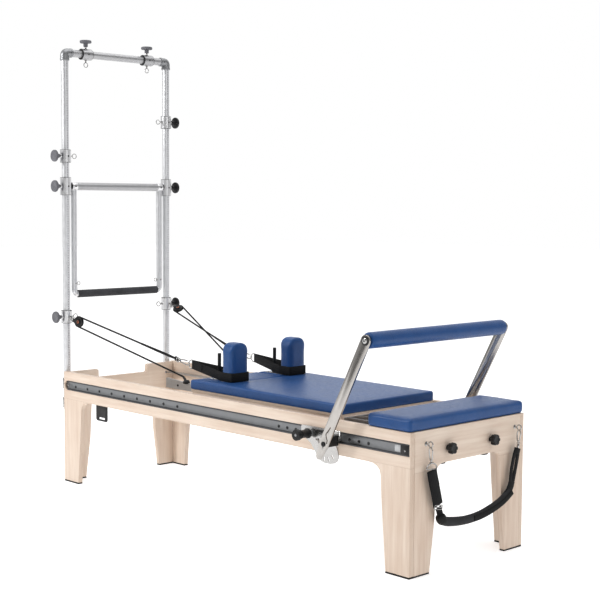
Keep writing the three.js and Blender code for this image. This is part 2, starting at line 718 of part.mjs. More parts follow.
/** Spring plunger: pulled outwards it frees the slider, which then runs along the track. */
function lockKnob(sign) {
  const tip = BED_HALF_WIDTH - TRACK_DEPTH + TRACK_WALL + GAP;
  const neck = BRACKET_OUTER + GAP;
  const profile = [
    [0, tip], [5, tip], [5, neck], [15, neck], [15, 382], [23.5, 384], [23.5, 455], [21, 458], [0, 458],
  ];
  return whole(sideways(turned('z', profile, 12), sign));
}

// ---- carriage -----------------------------------------------------------------------------

function buildCarriage() {
  add('carriage_base', MAPLE, carriageBase());
  add('carriage_pad', VINYL, carriagePad());
  add('headrest', VINYL, headrest());
  WHEEL_X.forEach((x, i) => {
    add(`wheel_set_${['front', 'rear'][i]}`, BLACK, wheelSet(), [x, 0, WHEEL_AXIS_Z]);
  });
  for (const { side, sign } of SIDES) {
    add(`shoulder_rest_${side}`, VINYL, shoulderRest(), [0, sign * REST_Y, 0]);
    add(`shoulder_post_${side}`, BLACK, shoulderPost(sign));
    add(`strap_loop_${side}`, BLACK, strapLoop(sign));
  }
}

/** Plywood board with axle hangers, the spring anchor and the two bars that hold the rope cleats. */
function carriageBase() {
  const board = box(CARRIAGE_START + 3, CARRIAGE_END - 3, -290, 290, BOARD_BOTTOM, PAD_BOTTOM - GAP);
  const hangers = WHEEL_X.flatMap((x) =>
    SIDES.map(({ sign }) => box(x - 14, x + 14, ...across(sign, 262, 280), WHEEL_AXIS_Z - 12, BOARD_BOTTOM + 1)),
  );
  const anchor = box(ANCHOR_X - 12, ANCHOR_X, -172, 172, SPRING_Z - 14, BOARD_BOTTOM + 1);
  const bar = polygon([[647, 548], [1100, 548], [1100, 575], [970, 575], [952, 579], [835, 587], [647, 598]]);
  const bars = SIDES.map(({ sign }) => plateXZ(bar, ...across(sign, 184, 192)));
  const cleats = SIDES.map(({ sign }) => rod('z', 17, 585, 602, 8).translate(805, sign * 188, 0));
  const axleBores = WHEEL_X.map((x) => rod('y', 6 + RUNNING, -300, 300, BORE_SIDES).translate(x, 0, WHEEL_AXIS_Z));
  return cut(join(board, ...hangers, anchor, ...bars, ...cleats), ...axleBores);
}

function wheelSet() {
  const profile = [
    [0, -324], [WHEEL_RADIUS, -324], [WHEEL_RADIUS, -298], [6, -298],
    [6, 298], [WHEEL_RADIUS, 298], [WHEEL_RADIUS, 324], [0, 324],
  ];
  return whole(turned('y', profile, 14));
}

/** Main pad with a notch at its head end, where the headrest lies. */
function carriagePad() {
  const [start, end, half] = [CARRIAGE_START, CARRIAGE_END, CARRIAGE_HALF_WIDTH];
  const notch = { half: HEADREST_HALF_WIDTH + 2, end: HEADREST_END + 5 };
  const corner = 12;
  const shape = new THREE.Shape();
  shape.absarc(end - corner, -half + corner, corner, -Math.PI / 2, 0);
  shape.absarc(end - corner, half - corner, corner, 0, Math.PI / 2);
  shape.absarc(start + corner, half - corner, corner, Math.PI / 2, Math.PI);
  shape.lineTo(start, notch.half);
  shape.lineTo(notch.end, notch.half);
  shape.lineTo(notch.end, -notch.half);
  shape.lineTo(start, -notch.half);
  shape.absarc(start + corner, -half + corner, corner, Math.PI, Math.PI * 1.5);
  shape.closePath();
  return whole(cushion(shape, PAD_BOTTOM, PAD_TOP, 9));
}

function headrest() {
  const plan = roundedRectangle(CARRIAGE_START, HEADREST_END, -HEADREST_HALF_WIDTH, HEADREST_HALF_WIDTH, 12);
  return whole(cushion(plan, PAD_BOTTOM, PAD_TOP, 9));
}

/** Upright pad with a domed top, standing on its steel base plate. */
function shoulderRest() {
  const [half, roll] = [REST_WIDTH / 2, 12];
  const foot = PAD_TOP + GAP + PLATE_THICKNESS + GAP;
  const shape = new THREE.Shape();
  shape.moveTo(-half, foot);
  shape.lineTo(half, foot);
  shape.lineTo(half, REST_TOP - 40);
  shape.quadraticCurveTo(half, REST_TOP, half - 40, REST_TOP);
  shape.lineTo(-half + 40, REST_TOP);
  shape.quadraticCurveTo(-half, REST_TOP, -half, REST_TOP - 40);
  shape.closePath();
  const options = {
    depth: REST_END - REST_START - 2 * roll,
    bevelThickness: roll,
    bevelSize: roll,
    bevelOffset: -roll,
    bevelSegments: 2,
    curveSegments: 4,
  };
  const turn = new THREE.Matrix4().makeBasis(
    new THREE.Vector3(0, 1, 0),
    new THREE.Vector3(0, 0, 1),
    new THREE.Vector3(1, 0, 0),
  );
  const body = new THREE.ExtrudeGeometry(shape, options).applyMatrix4(turn);
  return whole(body.translate(REST_START + roll, 0, 0));
}

/** Steel plate on the pad, under the shoulder rest, with the post that keeps the strap loop. */
function shoulderPost(sign) {
  const bottom = PAD_TOP + GAP;
  const plate = box(1010, REST_END - 6, ...across(sign, POST.y - 34, POST.y + 40), bottom, bottom + PLATE_THICKNESS);
  const post = rod('z', POST.radius, bottom + 1, POST.top, 12).translate(POST.x, sign * POST.y, 0);
  return join(plate, post);
}

/** Webbing loop laid round the shoulder rest and its post, with the ring and hook at its head end. */
function strapLoop(sign) {
  const [inner, thickness, width] = [GAP, 3, 42];
  const half = REST_WIDTH / 2 + inner;
  const outline = (grow) => [
    [868 - grow, sign * (200 - 3 - grow)],
    [REST_START - inner - grow / 2, sign * (REST_Y - half) - sign * grow],
    [REST_END + inner + grow, sign * (REST_Y - half) - sign * grow],
    [REST_END + inner + grow, sign * (REST_Y + half) + sign * grow],
    [REST_START - inner - grow / 2, sign * (REST_Y + half) + sign * grow],
    [868 - grow, sign * (200 + 3 + grow)],
  ];
  const band = polygon(outline(thickness));
  band.holes.push(new THREE.Path(outline(0).map(([x, y]) => new THREE.Vector2(x, y))));
  const webbing = extruded(band, width);
  const base = PAD_TOP + 2 * GAP + PLATE_THICKNESS + 1;
  const rise = 0.112;
  const place = webbing.attributes.position;
  for (let i = 0; i < place.count; i += 1) {
    const lift = Math.max(0, REST_START - place.getX(i)) * rise;
    place.setZ(i, place.getZ(i) + base + lift);
  }
  const dRing = eyelet(20, 3).rotateX(Math.PI / 2).translate(848, sign * 200, 683);
  const hook = eyelet(11, 3).scale(3.7, 1, 1).rotateX(Math.PI / 2).rotateY(0.16).translate(793, sign * 200, 692);
  return join(webbing, dRing, hook);
}

// ---- ropes, pulleys and foot strap --------------------------------------------------------

/** Where each rope turns: sheave centre, and the direction across the sheave from strap run to cleat run. */
const ROPES = {
  near: {
    centre: new THREE.Vector3(88, -326, 842),
    across: new THREE.Vector3(0.2, 0.04, -0.98),
    hook: new THREE.Vector3(736, -200, 701),
    cleat: new THREE.Vector3(784, -188, 614),
  },
  far: {
    centre: new THREE.Vector3(88, 326, 876),
    across: new THREE.Vector3(0.25, 0.88, 0.41),
    hook: new THREE.Vector3(736, 200, 701),
    cleat: new THREE.Vector3(784, 188, 614),
  },
};

function ropeFrame({ centre, across: direction, hook }) {
  const run = hook.clone().sub(centre).normalize();
  const side = direction.clone().addScaledVector(run, -direction.dot(run)).normalize();
  return { run, side, axis: new THREE.Vector3().crossVectors(run, side) };
}

/** From the strap hook back to the sheave, half a turn round it and down to the carriage cleat. */
function ropePoints(rope) {
  const { run, side } = ropeFrame(rope);
  const turns = 8;
  const onSheave = Array.from({ length: turns + 1 }, (_, i) => {
    const turn = Math.PI * (i / turns);
    return rope.centre.clone()
      .addScaledVector(side, -SHEAVE_RADIUS * Math.cos(turn))
      .addScaledVector(run, -SHEAVE_RADIUS * Math.sin(turn));
  });
  const between = (a, b, count) =>
    Array.from({ length: count }, (_, i) => a.clone().lerp(b, (i + 1) / (count + 1)));
  return [
    rope.hook, ...between(rope.hook, onSheave[0], 4), ...onSheave,
    ...between(onSheave[turns], rope.cleat, 4), rope.cleat,
  ];
}

/** Turns a piece made about +Z so that +Z becomes the sheave's axis and +X the rope's run. */
function onSheaveAxis(geometry, rope) {
  const { run, side, axis } = ropeFrame(rope);
  return geometry.applyMatrix4(new THREE.Matrix4().makeBasis(run, side, axis));
}

function sheave(rope) {
  const profile = [[0, -7], [SHEAVE_RADIUS + 2, -7], [SHEAVE_RADIUS - 6, 0], [SHEAVE_RADIUS + 2, 7], [0, 7]];
  const bore = rod('z', 5 + RUNNING, -8, 8, BORE_SIDES);
  return onSheaveAxis(cut(turned('z', profile, 12), bore), rope);
}

/** Two cheeks on one pin, joined behind the sheave by the shackle that hangs on the collar. */
function pulleyBlock(rope) {
  const cheek = () => {
    const shape = new THREE.Shape();
    shape.absarc(0, 0, 13, -Math.PI / 2, Math.PI / 2);
    shape.lineTo(-36, 9);
    shape.lineTo(-36, -9);
    shape.closePath();
    return extruded(shape, 2.5);
  };
  const pin = rod('z', 5, -9, 9, 12);
  const bridge = box(-38, -33, -9, 9, -9.8, 9.8);
  const body = join(cheek().translate(0, 0, 7.4), cheek().translate(0, 0, -9.9), pin, bridge);
  return onSheaveAxis(body, rope);
}

function buildRopes() {
  for (const { side } of SIDES) {
    const rope = ROPES[side];
    const points = ropePoints(rope).map((point) => point.toArray());
    add(`rope_${side}`, BLACK, whole(tubeAlong(points, ROPE_RADIUS)));
    add(`pulley_block_${side}`, STEEL, pulleyBlock(rope), rope.centre.toArray());
    add(`sheave_${side}`, BLACK, sheave(rope), rope.centre.toArray());
  }
}

/** Padded loop hung across the foot end from two screw eyes, with a hook at each end. */
function footStrap() {
  const x = STRAP_X;
  const hooks = [
    tubeAlong([[x, STRAP_EYES[0], 510], [x, STRAP_EYES[0] + 5, 480], [x, STRAP_EYES[0] + 16, 440]], 3.5, 6),
    tubeAlong([[x, STRAP_EYES[1], 510], [x, STRAP_EYES[1], 480], [x, STRAP_EYES[1] - 1, 440]], 3.5, 6),
  ];
  const webbing = tubeAlong(
    [
      [x, -256, 445], [x, -243, 380], [x, -222, 290], [x, -204, 225], [x, -180, 208], [x, -120, 194],
      [x, -40, 190], [x, 40, 195], [x, 120, 208], [x, 190, 230], [x, 240, 265], [x, 268, 320], [x, 288, 390],
      [x, 299, 445],
    ],
    13,
  );
  return join(webbing, ...hooks);
}

buildBed();
buildBedFittings();
buildTower();
buildFootbar();
buildCarriage();
buildRopes();
add('foot_strap', BLACK, footStrap());

// ---- origin in the middle of the footprint --------------------------------------------------
const bounds = new THREE.Box3().setFromObject(machine);
const middle = bounds.getCenter(new THREE.Vector3());
machine.position.set(-middle.x, -middle.y, -bounds.min.z);

const reformer = new THREE.Group();
reformer.add(machine);

export default reformer;
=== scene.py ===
"""Looks of a pilates reformer with a tower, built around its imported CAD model. Metres, +Z up."""

import itertools
import json
import math

import bmesh
import bpy
from mathutils import Matrix, Vector


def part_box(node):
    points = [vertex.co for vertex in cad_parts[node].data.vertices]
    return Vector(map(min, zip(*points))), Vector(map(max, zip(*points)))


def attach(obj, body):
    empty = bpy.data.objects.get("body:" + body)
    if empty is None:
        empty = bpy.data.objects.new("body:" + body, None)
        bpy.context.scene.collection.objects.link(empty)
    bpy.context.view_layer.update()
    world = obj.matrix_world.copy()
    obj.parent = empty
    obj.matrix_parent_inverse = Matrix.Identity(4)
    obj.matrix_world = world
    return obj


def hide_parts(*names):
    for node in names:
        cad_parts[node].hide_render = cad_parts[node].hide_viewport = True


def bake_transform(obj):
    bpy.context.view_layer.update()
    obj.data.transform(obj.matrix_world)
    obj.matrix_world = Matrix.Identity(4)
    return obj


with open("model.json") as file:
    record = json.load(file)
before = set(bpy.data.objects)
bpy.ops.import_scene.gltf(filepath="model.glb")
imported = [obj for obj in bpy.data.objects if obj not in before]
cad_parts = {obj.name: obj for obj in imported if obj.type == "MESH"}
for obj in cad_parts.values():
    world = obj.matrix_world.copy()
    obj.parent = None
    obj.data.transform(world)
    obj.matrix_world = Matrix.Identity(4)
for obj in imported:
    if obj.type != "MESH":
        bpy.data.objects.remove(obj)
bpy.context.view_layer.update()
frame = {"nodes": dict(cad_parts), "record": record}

# ---- places read from the frame -------------------------------------------------------------
SIDES = (("near", -1.0), ("far", 1.0))
FORWARD, ACROSS, UP = (1, 0, 0), (0, 1, 0), (0, 0, 1)
BED_LOW, BED_HIGH = (Vector(corner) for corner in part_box("side_panel_near"))
HEAD_X = BED_LOW.x  # tower end of the bed; every route below counts x from here
FACE_Y = -BED_LOW.y
UPRIGHT_Y = 0.3276


def at(x, y, z):
    """A point given from the middle of the bed's tower end, at floor level."""
    return Vector((HEAD_X + x, y, z))


def low(node):
    return Vector(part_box(node)[0])


def high(node):
    return Vector(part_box(node)[1])


def middle(node):
    return (low(node) + high(node)) / 2


def body_of(node):
    for body, nodes in frame["record"]["behaviour"]["bodies"].items():
        if node in nodes:
            return body
    raise KeyError(node)


# ---- node graphs ----------------------------------------------------------------------------
class Nodes:
    """Short ways to add and join the nodes of one tree."""

    def __init__(self, tree):
        self.tree = tree

    def put(self, socket, value):
        if isinstance(value, bpy.types.NodeSocket):
            self.tree.links.new(value, socket)
        else:
            socket.default_value = value

    def add(self, kind, settings=None, **inputs):
        """A node; an input is given by its name, or by its number as i0, i1 and so on."""
        node = self.tree.nodes.new("ShaderNode" + kind)
        for key, value in (settings or {}).items():
            setattr(node, key, value)
        for key, value in inputs.items():
            self.put(node.inputs[int(key[1:]) if key[1:].isdigit() else key.replace("_", " ")], value)
        return node

    def math(self, operation, a, b=0.0):
        return self.add("Math", {"operation": operation}, i0=a, i1=b).outputs[0]

    def plus(self, a, b):
        return self.math("ADD", a, b)

    def minus(self, a, b):
        return self.math("SUBTRACT", a, b)

    def times(self, a, b):
        return self.math("MULTIPLY", a, b)

    def distance(self, a, b):
        return self.math("ABSOLUTE", self.minus(a, b))

    def ramp(self, value, low, high, out_low=0.0, out_high=1.0):
        limits = {"From_Min": low, "From_Max": high, "To_Min": out_low, "To_Max": out_high}
        return self.add("MapRange", Value=value, **limits).outputs[0]

    def mix(self, factor, a, b):
        return self.add("Mix", {"data_type": "RGBA"}, i0=factor, i6=a, i7=b).outputs[2]


class Graph(Nodes):
    """A material. Its slot argument is not used."""

    def __init__(self, name, slot, color, roughness, metallic=0.0):
        self.material = bpy.data.materials.new(name)
        self.material.use_nodes = True
        self.material.diffuse_color = (*color, 1.0)
        super().__init__(self.material.node_tree)
        self.shader = self.tree.nodes["Principled BSDF"]
        self.finish((*color, 1.0), roughness, Metallic=metallic)

    def place(self, output="Object"):
        return self.add("TexCoord").outputs[output]

    def space(self, scale=(1.0, 1.0, 1.0)):
        """Object coordinates, stretched."""
        return self.add("Mapping", Vector=self.place(), Scale=scale).outputs[0]

    def noise(self, scale, detail=3.0, stretch=(1.0, 1.0, 1.0), roughness=0.5):
        settings = {"Scale": scale, "Detail": detail, "Roughness": roughness}
        return self.add("TexNoise", Vector=self.space(stretch), **settings).outputs["Fac"]

    def cells(self, scale, **settings):
        return self.add("TexVoronoi", settings, Vector=self.space(), Scale=scale).outputs["Distance"]

    def axis(self, name):
        return self.add("SeparateXYZ", Vector=self.place()).outputs[name]

    def bump(self, height, distance, strength=1.0, **normal):
        return self.add("Bump", Height=height, Distance=distance, Strength=strength, **normal).outputs[0]

    def finish(self, color=None, roughness=None, normal=None, **constants):
        for socket, value in (("Base Color", color), ("Roughness", roughness), ("Normal", normal)):
            if value is not None:
                self.put(self.shader.inputs[socket], value)
        for key, value in constants.items():
            self.shader.inputs[key.replace("_", " ")].default_value = value
        return self.material


def tinted(color, factor, lift=0.0):
    return tuple(min(c * factor + lift, 1.0) for c in color) + (1.0,)


def maple(name, along, through, start, thickness, seam=None):
    """Clear-lacquered maple plywood: grain along one axis, veneers stacked through another.

    Below the seam height the boards run upright, and a fine joint line shows at the seam."""
    pale, warm = (0.82, 0.705, 0.60, 1.0), (0.66, 0.515, 0.41, 1.0)
    edge, gap = (0.50, 0.36, 0.26, 1.0), (0.42, 0.31, 0.21, 1.0)
    graph = Graph(name, "maple", pale[:3], 0.42)

    def grain(axis, scale, detail, along_it, across_it, roughness=0.5):
        stretch = tuple(along_it if a == axis else across_it for a in "XYZ")
        return graph.noise(scale, detail, stretch, roughness)

    streak = grain(along, 4.0, 6.0, 0.7, 11.0, 0.62)
    pores = grain(along, 30.0, 2.0, 0.9, 16.0)
    joint = 0.0
    if seam is not None:
        height = graph.axis("Z")
        below = graph.math("LESS_THAN", height, seam)
        standing = grain("Z", 4.0, 6.0, 0.7, 11.0, 0.62)
        streak = graph.plus(graph.times(streak, graph.minus(1.0, below)), graph.times(standing, below))
        joint = graph.math("LESS_THAN", graph.distance(height, seam), 0.0007)
    figure = graph.times(graph.noise(2.6, 2.0), 0.55)
    color = graph.mix(graph.ramp(graph.plus(streak, figure), 0.48, 0.98), pale, warm)
    depth = graph.minus(graph.math("ABSOLUTE", graph.axis(through)), start)
    layers = graph.math("SINE", graph.times(depth, 2 * math.pi * 6.0 / thickness))
    inside = graph.times(graph.math("GREATER_THAN", depth, 0.0012),
                         graph.math("LESS_THAN", depth, thickness - 0.0012))
    color = graph.mix(graph.times(graph.ramp(layers, 0.0, 0.4, 0.0, 0.55), inside), color, edge)
    color = graph.mix(graph.times(joint, 0.45), color, gap)
    return graph.finish(color, graph.ramp(pores, 0.3, 0.7, 0.36, 0.5), graph.bump(pores, 0.00025, 0.35),
                        Coat_Weight=0.12, Coat_Roughness=0.35)


def vinyl(name, color):
    """Upholstery vinyl: pebbled grain, faint unevenness from the foam, a soft sheen."""
    graph = Graph(name, "blue_vinyl", color, 0.42)
    pebble = graph.ramp(graph.cells(520.0, feature="DISTANCE_TO_EDGE"), 0.0, 0.09)
    grain = graph.plus(graph.times(graph.cells(900.0), 0.4), pebble)
    shade = graph.mix(graph.ramp(graph.noise(14.0, 3.0), 0.3, 0.7), tinted(color, 0.94), tinted(color, 1.08))
    slack = graph.bump(graph.noise(9.0, 2.0), 0.004, 0.12)
    return graph.finish(shade, graph.ramp(graph.noise(60.0, 3.0), 0.3, 0.7, 0.29, 0.40),
                        graph.bump(grain, 0.00022, 0.5, Normal=slack), Sheen_Weight=0.03,
                        Sheen_Roughness=0.5, Specular_IOR_Level=0.42)


def metal(name, slot, color, roughness, along="Z", wear=0.06, anisotropic=0.0, paint=None):
    """Metal with fine drawn lines along one axis, slight handling marks and any further layer given, such as
    printed marks and painted shade.
    """
    graph = Graph(name, slot, color, roughness, 1.0)
    lines = graph.noise(900.0, 3.0, tuple(0.03 if axis == along else 1.0 for axis in "XYZ"))
    marks = graph.noise(35.0, 4.0)
    uneven = graph.plus(graph.times(lines, 0.6), graph.times(marks, 0.4))
    rough = graph.ramp(uneven, 0.3, 0.7, roughness - wear * 0.6, roughness + wear * 0.6)
    shade = graph.mix(graph.ramp(marks, 0.35, 0.7), tinted(color, 0.92), (*color, 1.0))
    if paint:
        shade = paint(graph, shade)
    return graph.finish(shade, rough, graph.bump(lines, 0.00002, 0.2), Anisotropic=anisotropic)


def height_marks(graph, plain):
    """A row of small marks, half an inch apart, along the side of an upright that faces the bed."""
    spacing, half_length, drawn = 0.0127, 0.0021, 0.26
    beside = graph.distance(graph.math("ABSOLUTE", graph.axis("Y")), UPRIGHT_Y)
    forward = graph.math("GREATER_THAN", graph.axis("X"), HEAD_X - 0.010)
    step = graph.math("FRACT", graph.math("DIVIDE", graph.axis("Z"), spacing))
    dot = graph.times(graph.math("LESS_THAN", beside, half_length), graph.math("LESS_THAN", step, drawn))
    return graph.mix(graph.times(graph.times(dot, forward), 0.75), plain, (0.10, 0.10, 0.11, 1.0))


def painted_lip_shade(graph, plain):
    """Painted shade: the folded lips of a track, above and below its web, are darkened as if shadowed."""
    track_middle, lip_start, lip_full = 0.5083, 0.0168, 0.0176
    lip = graph.ramp(graph.distance(graph.axis("Z"), track_middle), lip_start, lip_full, 0.0, 0.8)
    return graph.mix(lip, plain, (0.075, 0.077, 0.082, 1.0))


def chrome(name, color):
    graph = Graph(name, "chrome", color, 0.1, 1.0)
    smears = graph.noise(120.0, 3.0)
    shade = graph.mix(graph.ramp(smears, 0.3, 0.8), (*color, 1.0), tinted(color, 0.9))
    return graph.finish(shade, graph.ramp(smears, 0.3, 0.7, 0.07, 0.16), graph.bump(smears, 0.0001, 0.1))


def coated(name, slot, color, roughness, texture=0.0004, scale=650.0):
    """Powder coat, casting or moulded plastic: one colour with a fine skin and rubbed patches."""
    graph = Graph(name, slot, color, roughness)
    rubbed = graph.noise(24.0, 4.0)
    shade = graph.mix(graph.ramp(rubbed, 0.5, 0.8), (*color, 1.0), tinted(color, 1.35, 0.004))
    rough = graph.ramp(rubbed, 0.3, 0.7, roughness + 0.06, roughness - 0.06)
    return graph.finish(shade, rough, graph.bump(graph.noise(scale, 3.0), texture, 0.4),
                        Specular_IOR_Level=0.36)


def foam(name, color):
    """Closed-cell foam sleeve: matt skin with small open bubbles."""
    graph = Graph(name, "foam", color, 0.85)
    pits = graph.ramp(graph.cells(420.0), 0.0, 0.45)
    tone = graph.noise(18.0, 4.0)
    shade = graph.mix(graph.ramp(tone, 0.35, 0.75), (*color, 1.0), tinted(color, 1.5))
    return graph.finish(shade, graph.ramp(tone, 0.3, 0.7, 0.74, 0.92), graph.bump(pits, 0.0006, 0.5),
                        Specular_IOR_Level=0.25)


def woven(name, slot, color, across=42.0, length=420.0, twill=0.0):
    """Webbing or braid from the piece's own UVs: u runs round or across, v along in metres."""
    graph = Graph(name, slot, color, 0.72)
    place = graph.add("SeparateXYZ", Vector=graph.place("UV"))
    u, v = graph.times(place.outputs["X"], across), graph.times(place.outputs["Y"], length)
    warp = graph.math("SINE", graph.times(graph.plus(u, graph.times(v, twill)), math.pi))
    weft = graph.math("SINE", graph.times(graph.minus(v, graph.times(u, twill)), math.pi))
    threads = graph.math("ABSOLUTE", graph.times(warp, weft))
    fluff = graph.noise(1400.0, 2.0)
    height = graph.plus(threads, graph.times(fluff, 0.25))
    shade = graph.mix(graph.times(threads, 0.75), (*color, 1.0), tinted(color, 2.4, 0.006))
    return graph.finish(shade, graph.ramp(fluff, 0.3, 0.7, 0.62, 0.85), graph.bump(height, 0.0005, 0.6),
                        Sheen_Weight=0.04, Specular_IOR_Level=0.2)


PANEL = 0.026
END_PANEL = 0.024
BOARD = 0.012
MAPLE_SIDE = maple("maple_side", "X", "Y", FACE_Y - PANEL, PANEL, seam=0.4375)
MAPLE_END = maple("maple_end", "Y", "X", abs(HEAD_X) - END_PANEL, END_PANEL, seam=0.4155)
MAPLE_BOARD = maple("maple_board", "X", "Z", low("carriage_pad").z - BOARD, BOARD)
VINYL = vinyl("blue_vinyl", (0.010, 0.069, 0.228))
TUBE = metal("tube_aluminium", "aluminium", (0.74, 0.745, 0.76), 0.38)
TUBE_SCALE = metal("tube_with_scale", "aluminium", (0.78, 0.785, 0.80), 0.40, paint=height_marks)
TUBE_ACROSS = metal("bar_aluminium", "aluminium", (0.50, 0.50, 0.51), 0.46, "Y")
SWING_ACROSS = metal("swing_aluminium", "aluminium", (0.50, 0.50, 0.51), 0.50, "Y")
CAST_ALUMINIUM = metal("cast_aluminium", "aluminium", (0.34, 0.345, 0.355), 0.42, "Y")
COLLAR = metal("collar_aluminium", "aluminium", (0.80, 0.80, 0.81), 0.32, "Z", 0.04)
# Painted shade: the top collars are the side collars' aluminium made darker, so they don't wash out in the
# light.
SHADED_TOP_COLLAR = metal("top_collar_shaded_aluminium", "aluminium", (0.46, 0.46, 0.47), 0.36, "Y", 0.04)
# The track's lips carry painted shade, darker than the rest of the track.
TRACK = metal("track_anodised", "anodised", (0.245, 0.25, 0.258), 0.44, "X", paint=painted_lip_shade)
RAIL = metal("rail_aluminium", "aluminium", (0.52, 0.53, 0.54), 0.4, "X")
STAINLESS = metal("brushed_stainless", "stainless", (0.46, 0.44, 0.42), 0.18, "Z", 0.05, 0.3)
BRACKET_STEEL = metal("bracket_stainless", "stainless", (0.50, 0.49, 0.48), 0.26, "X", 0.05)
SPRING_STEEL = metal("spring_wire", "spring_steel", (0.30, 0.30, 0.31), 0.35, "X")
CHROME = chrome("chrome", (0.46, 0.455, 0.45))
CAST = coated("cast_grey", "cast_grey", (0.155, 0.16, 0.165), 0.48, 0.0005, 300.0)
KNOB_GREY = coated("knob_grey", "knob_grey", (0.15, 0.15, 0.165), 0.5)
BLACK_METAL = coated("black_powder_coat", "black_metal", (0.016, 0.016, 0.017), 0.5)
BLACK_PLASTIC = coated("black_plastic", "black_plastic", (0.014, 0.014, 0.015), 0.42)
RUBBER = coated("rubber", "rubber", (0.015, 0.015, 0.015), 0.75, 0.0006, 400.0)
ACCENT = coated("orange_accent", "accent", (0.55, 0.17, 0.08), 0.5)
LABEL = coated("plain_label", "label", (0.60, 0.61, 0.62), 0.5)
FOAM = foam("foam_sleeve", (0.035, 0.035, 0.038))
GRIP_FOAM = foam("grip_foam", (0.052, 0.053, 0.058))
WEBBING = woven("black_webbing", "webbing", (0.0055, 0.0055, 0.006))
BRAID = woven("black_braid", "rope", (0.008, 0.008, 0.009), 8.0, 260.0, 0.6)


# ---- mesh code ------------------------------------------------------------------------------
class Shape:
    """Vertices, faces and optional UVs gathered from several forms into one piece."""

    def __init__(self):
        self.points = []
        self.faces = []
        self.uvs = []

    def add(self, points, faces, uvs=None):
        start = len(self.points)
        self.points += [Vector(point) for point in points]
        self.faces += [tuple(start + i for i in face) for face in faces]
        self.uvs += uvs or [[(0.0, 0.0)] * len(face) for face in faces]
        return self

    def moved(self, matrix):
        self.points = [matrix @ point for point in self.points]
        return self

    def join(self, other):
        return self.add(other.points, other.faces, other.uvs)

    def piece(self, name, material, body, *replaces, crease=35.0):
        """Makes the object, rides it on its body and gives it its material."""
        mesh = bpy.data.meshes.new(name)
        mesh.from_pydata(self.points, [], self.faces)
        layer = mesh.uv_layers.new(name="UVMap")
        corners = [uv for face in self.uvs for uv in face]
        layer.data.foreach_set("uv", [number for uv in corners for number in uv])
        return show(mesh, name, material, body, replaces, crease)


def show(mesh, name, material, body, replaces=(), crease=35.0):
    bm = bmesh.new()
    bm.from_mesh(mesh)
    bmesh.ops.recalc_face_normals(bm, faces=bm.faces)
    for face in bm.faces:
        face.smooth = True
    for edge in bm.edges:
        edge.smooth = edge.calc_face_angle(0.0) < math.radians(crease)
    bm.to_mesh(mesh)
    bm.free()
    piece = bpy.data.objects.new(name, mesh)
    bpy.context.scene.collection.objects.link(piece)
    mesh.materials.append(material)
    if replaces:
        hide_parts(*replaces)
    if body:
        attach(piece, body)
    return piece


def facing(origin, direction, spin=None):
    """Matrix that takes +Z to the direction, and +X as near as it can to the spin vector."""
    z = Vector(direction).normalized()
    x = Vector(spin) if spin is not None else z.orthogonal()
    x = (x - z * x.dot(z)).normalized()
    y = z.cross(x)
    turn = Matrix((x, y, z)).transposed().to_4x4()
    return Matrix.Translation(Vector(origin)) @ turn


def turned(profile, origin=(0, 0, 0), direction=UP, sides=48, lobes=0, depth=0.0):
    """A turned form from (radius, height) points along the direction. Lobes wave its widest rings."""
    widest = max(radius for radius, _ in profile)
    rings, points, faces = [], [], []
    for radius, height in profile:
        ring = range(len(points), len(points) + (sides if radius > 1e-6 else 1))
        rings.append(ring)
        for i in range(len(ring)):
            turn = 2 * math.pi * i / sides
            reach = radius * (1.0 + depth * math.cos(lobes * turn)) if radius > 0.7 * widest else radius
            points.append((reach * math.cos(turn), reach * math.sin(turn), height))
    for lower, upper in zip(rings, rings[1:]):
        for i in range(sides):
            pairs = ((lower, i), (lower, i + 1), (upper, i + 1), (upper, i))
            face = tuple(dict.fromkeys(ring[k % len(ring)] for ring, k in pairs))
            if len(face) > 2:
                faces.append(face)
    return Shape().add(points, faces).moved(facing(origin, direction))


def mirrored(profile):
    return [(radius, -height) for radius, height in reversed(profile)]


def solid(profile, *placing):
    """A turned form closed at both ends by flat faces."""
    return turned([(0.0, profile[0][1]), *profile, (0.0, profile[-1][1])], *placing)


def rod(radius, start, length, edge, origin=(0, 0, 0), direction=UP, sides=48):
    """A disc or rod with rounded rims."""
    eased = arc(edge, edge, 0, 90, 3)
    rim = [(radius - edge + y, start + edge - x) for x, y in eased]
    top = [(r, 2 * start + length - h) for r, h in reversed(rim)]
    return solid([*rim, *top], origin, direction, sides)


def arc(a, b, start, end, steps):
    """Points (a cos, b sin) at even steps from one angle to another, in degrees."""
    turns = [math.radians(start + (end - start) * i / steps) for i in range(steps + 1)]
    return [(a * math.cos(turn), b * math.sin(turn)) for turn in turns]


def point_on(line, i, closed):
    """The line's point i: a closed line goes on round, and an open one stops at its ends."""
    return line[i % len(line)] if closed else line[min(max(i, 0), len(line) - 1)]


def curve(points, steps=8, closed=False):
    """Catmull-Rom curve through given points."""
    points = [Vector(p) for p in points]
    line = []
    for i in range(len(points) if closed else len(points) - 1):
        a, b, c, d = (point_on(points, i + k, closed) for k in (-1, 0, 1, 2))
        for t in (k / steps for k in range(steps)):
            line.append(0.5 * (2 * b + (c - a) * t + (2 * a - 5 * b + 4 * c - d) * t**2
                               + (3 * b - 3 * c + d - a) * t**3))
    return line if closed else line + [points[-1]]


def cornered(points, radius, closed=False, steps=6):
    """Straight runs through given corners, each corner eased by an arc."""
    points = [Vector(p) for p in points]
    line = []
    for i, corner in enumerate(points):
        if not closed and i in (0, len(points) - 1):
            line.append(corner)
            continue
        before, after = points[i - 1] - corner, points[(i + 1) % len(points)] - corner
        cut = min(radius, before.length * 0.49, after.length * 0.49)
        start, end = corner + before.normalized() * cut, corner + after.normalized() * cut
        for t in (k / steps for k in range(steps + 1)):
            line.append(start * (1 - t) ** 2 + corner * 2 * t * (1 - t) + end * t**2)
    return line


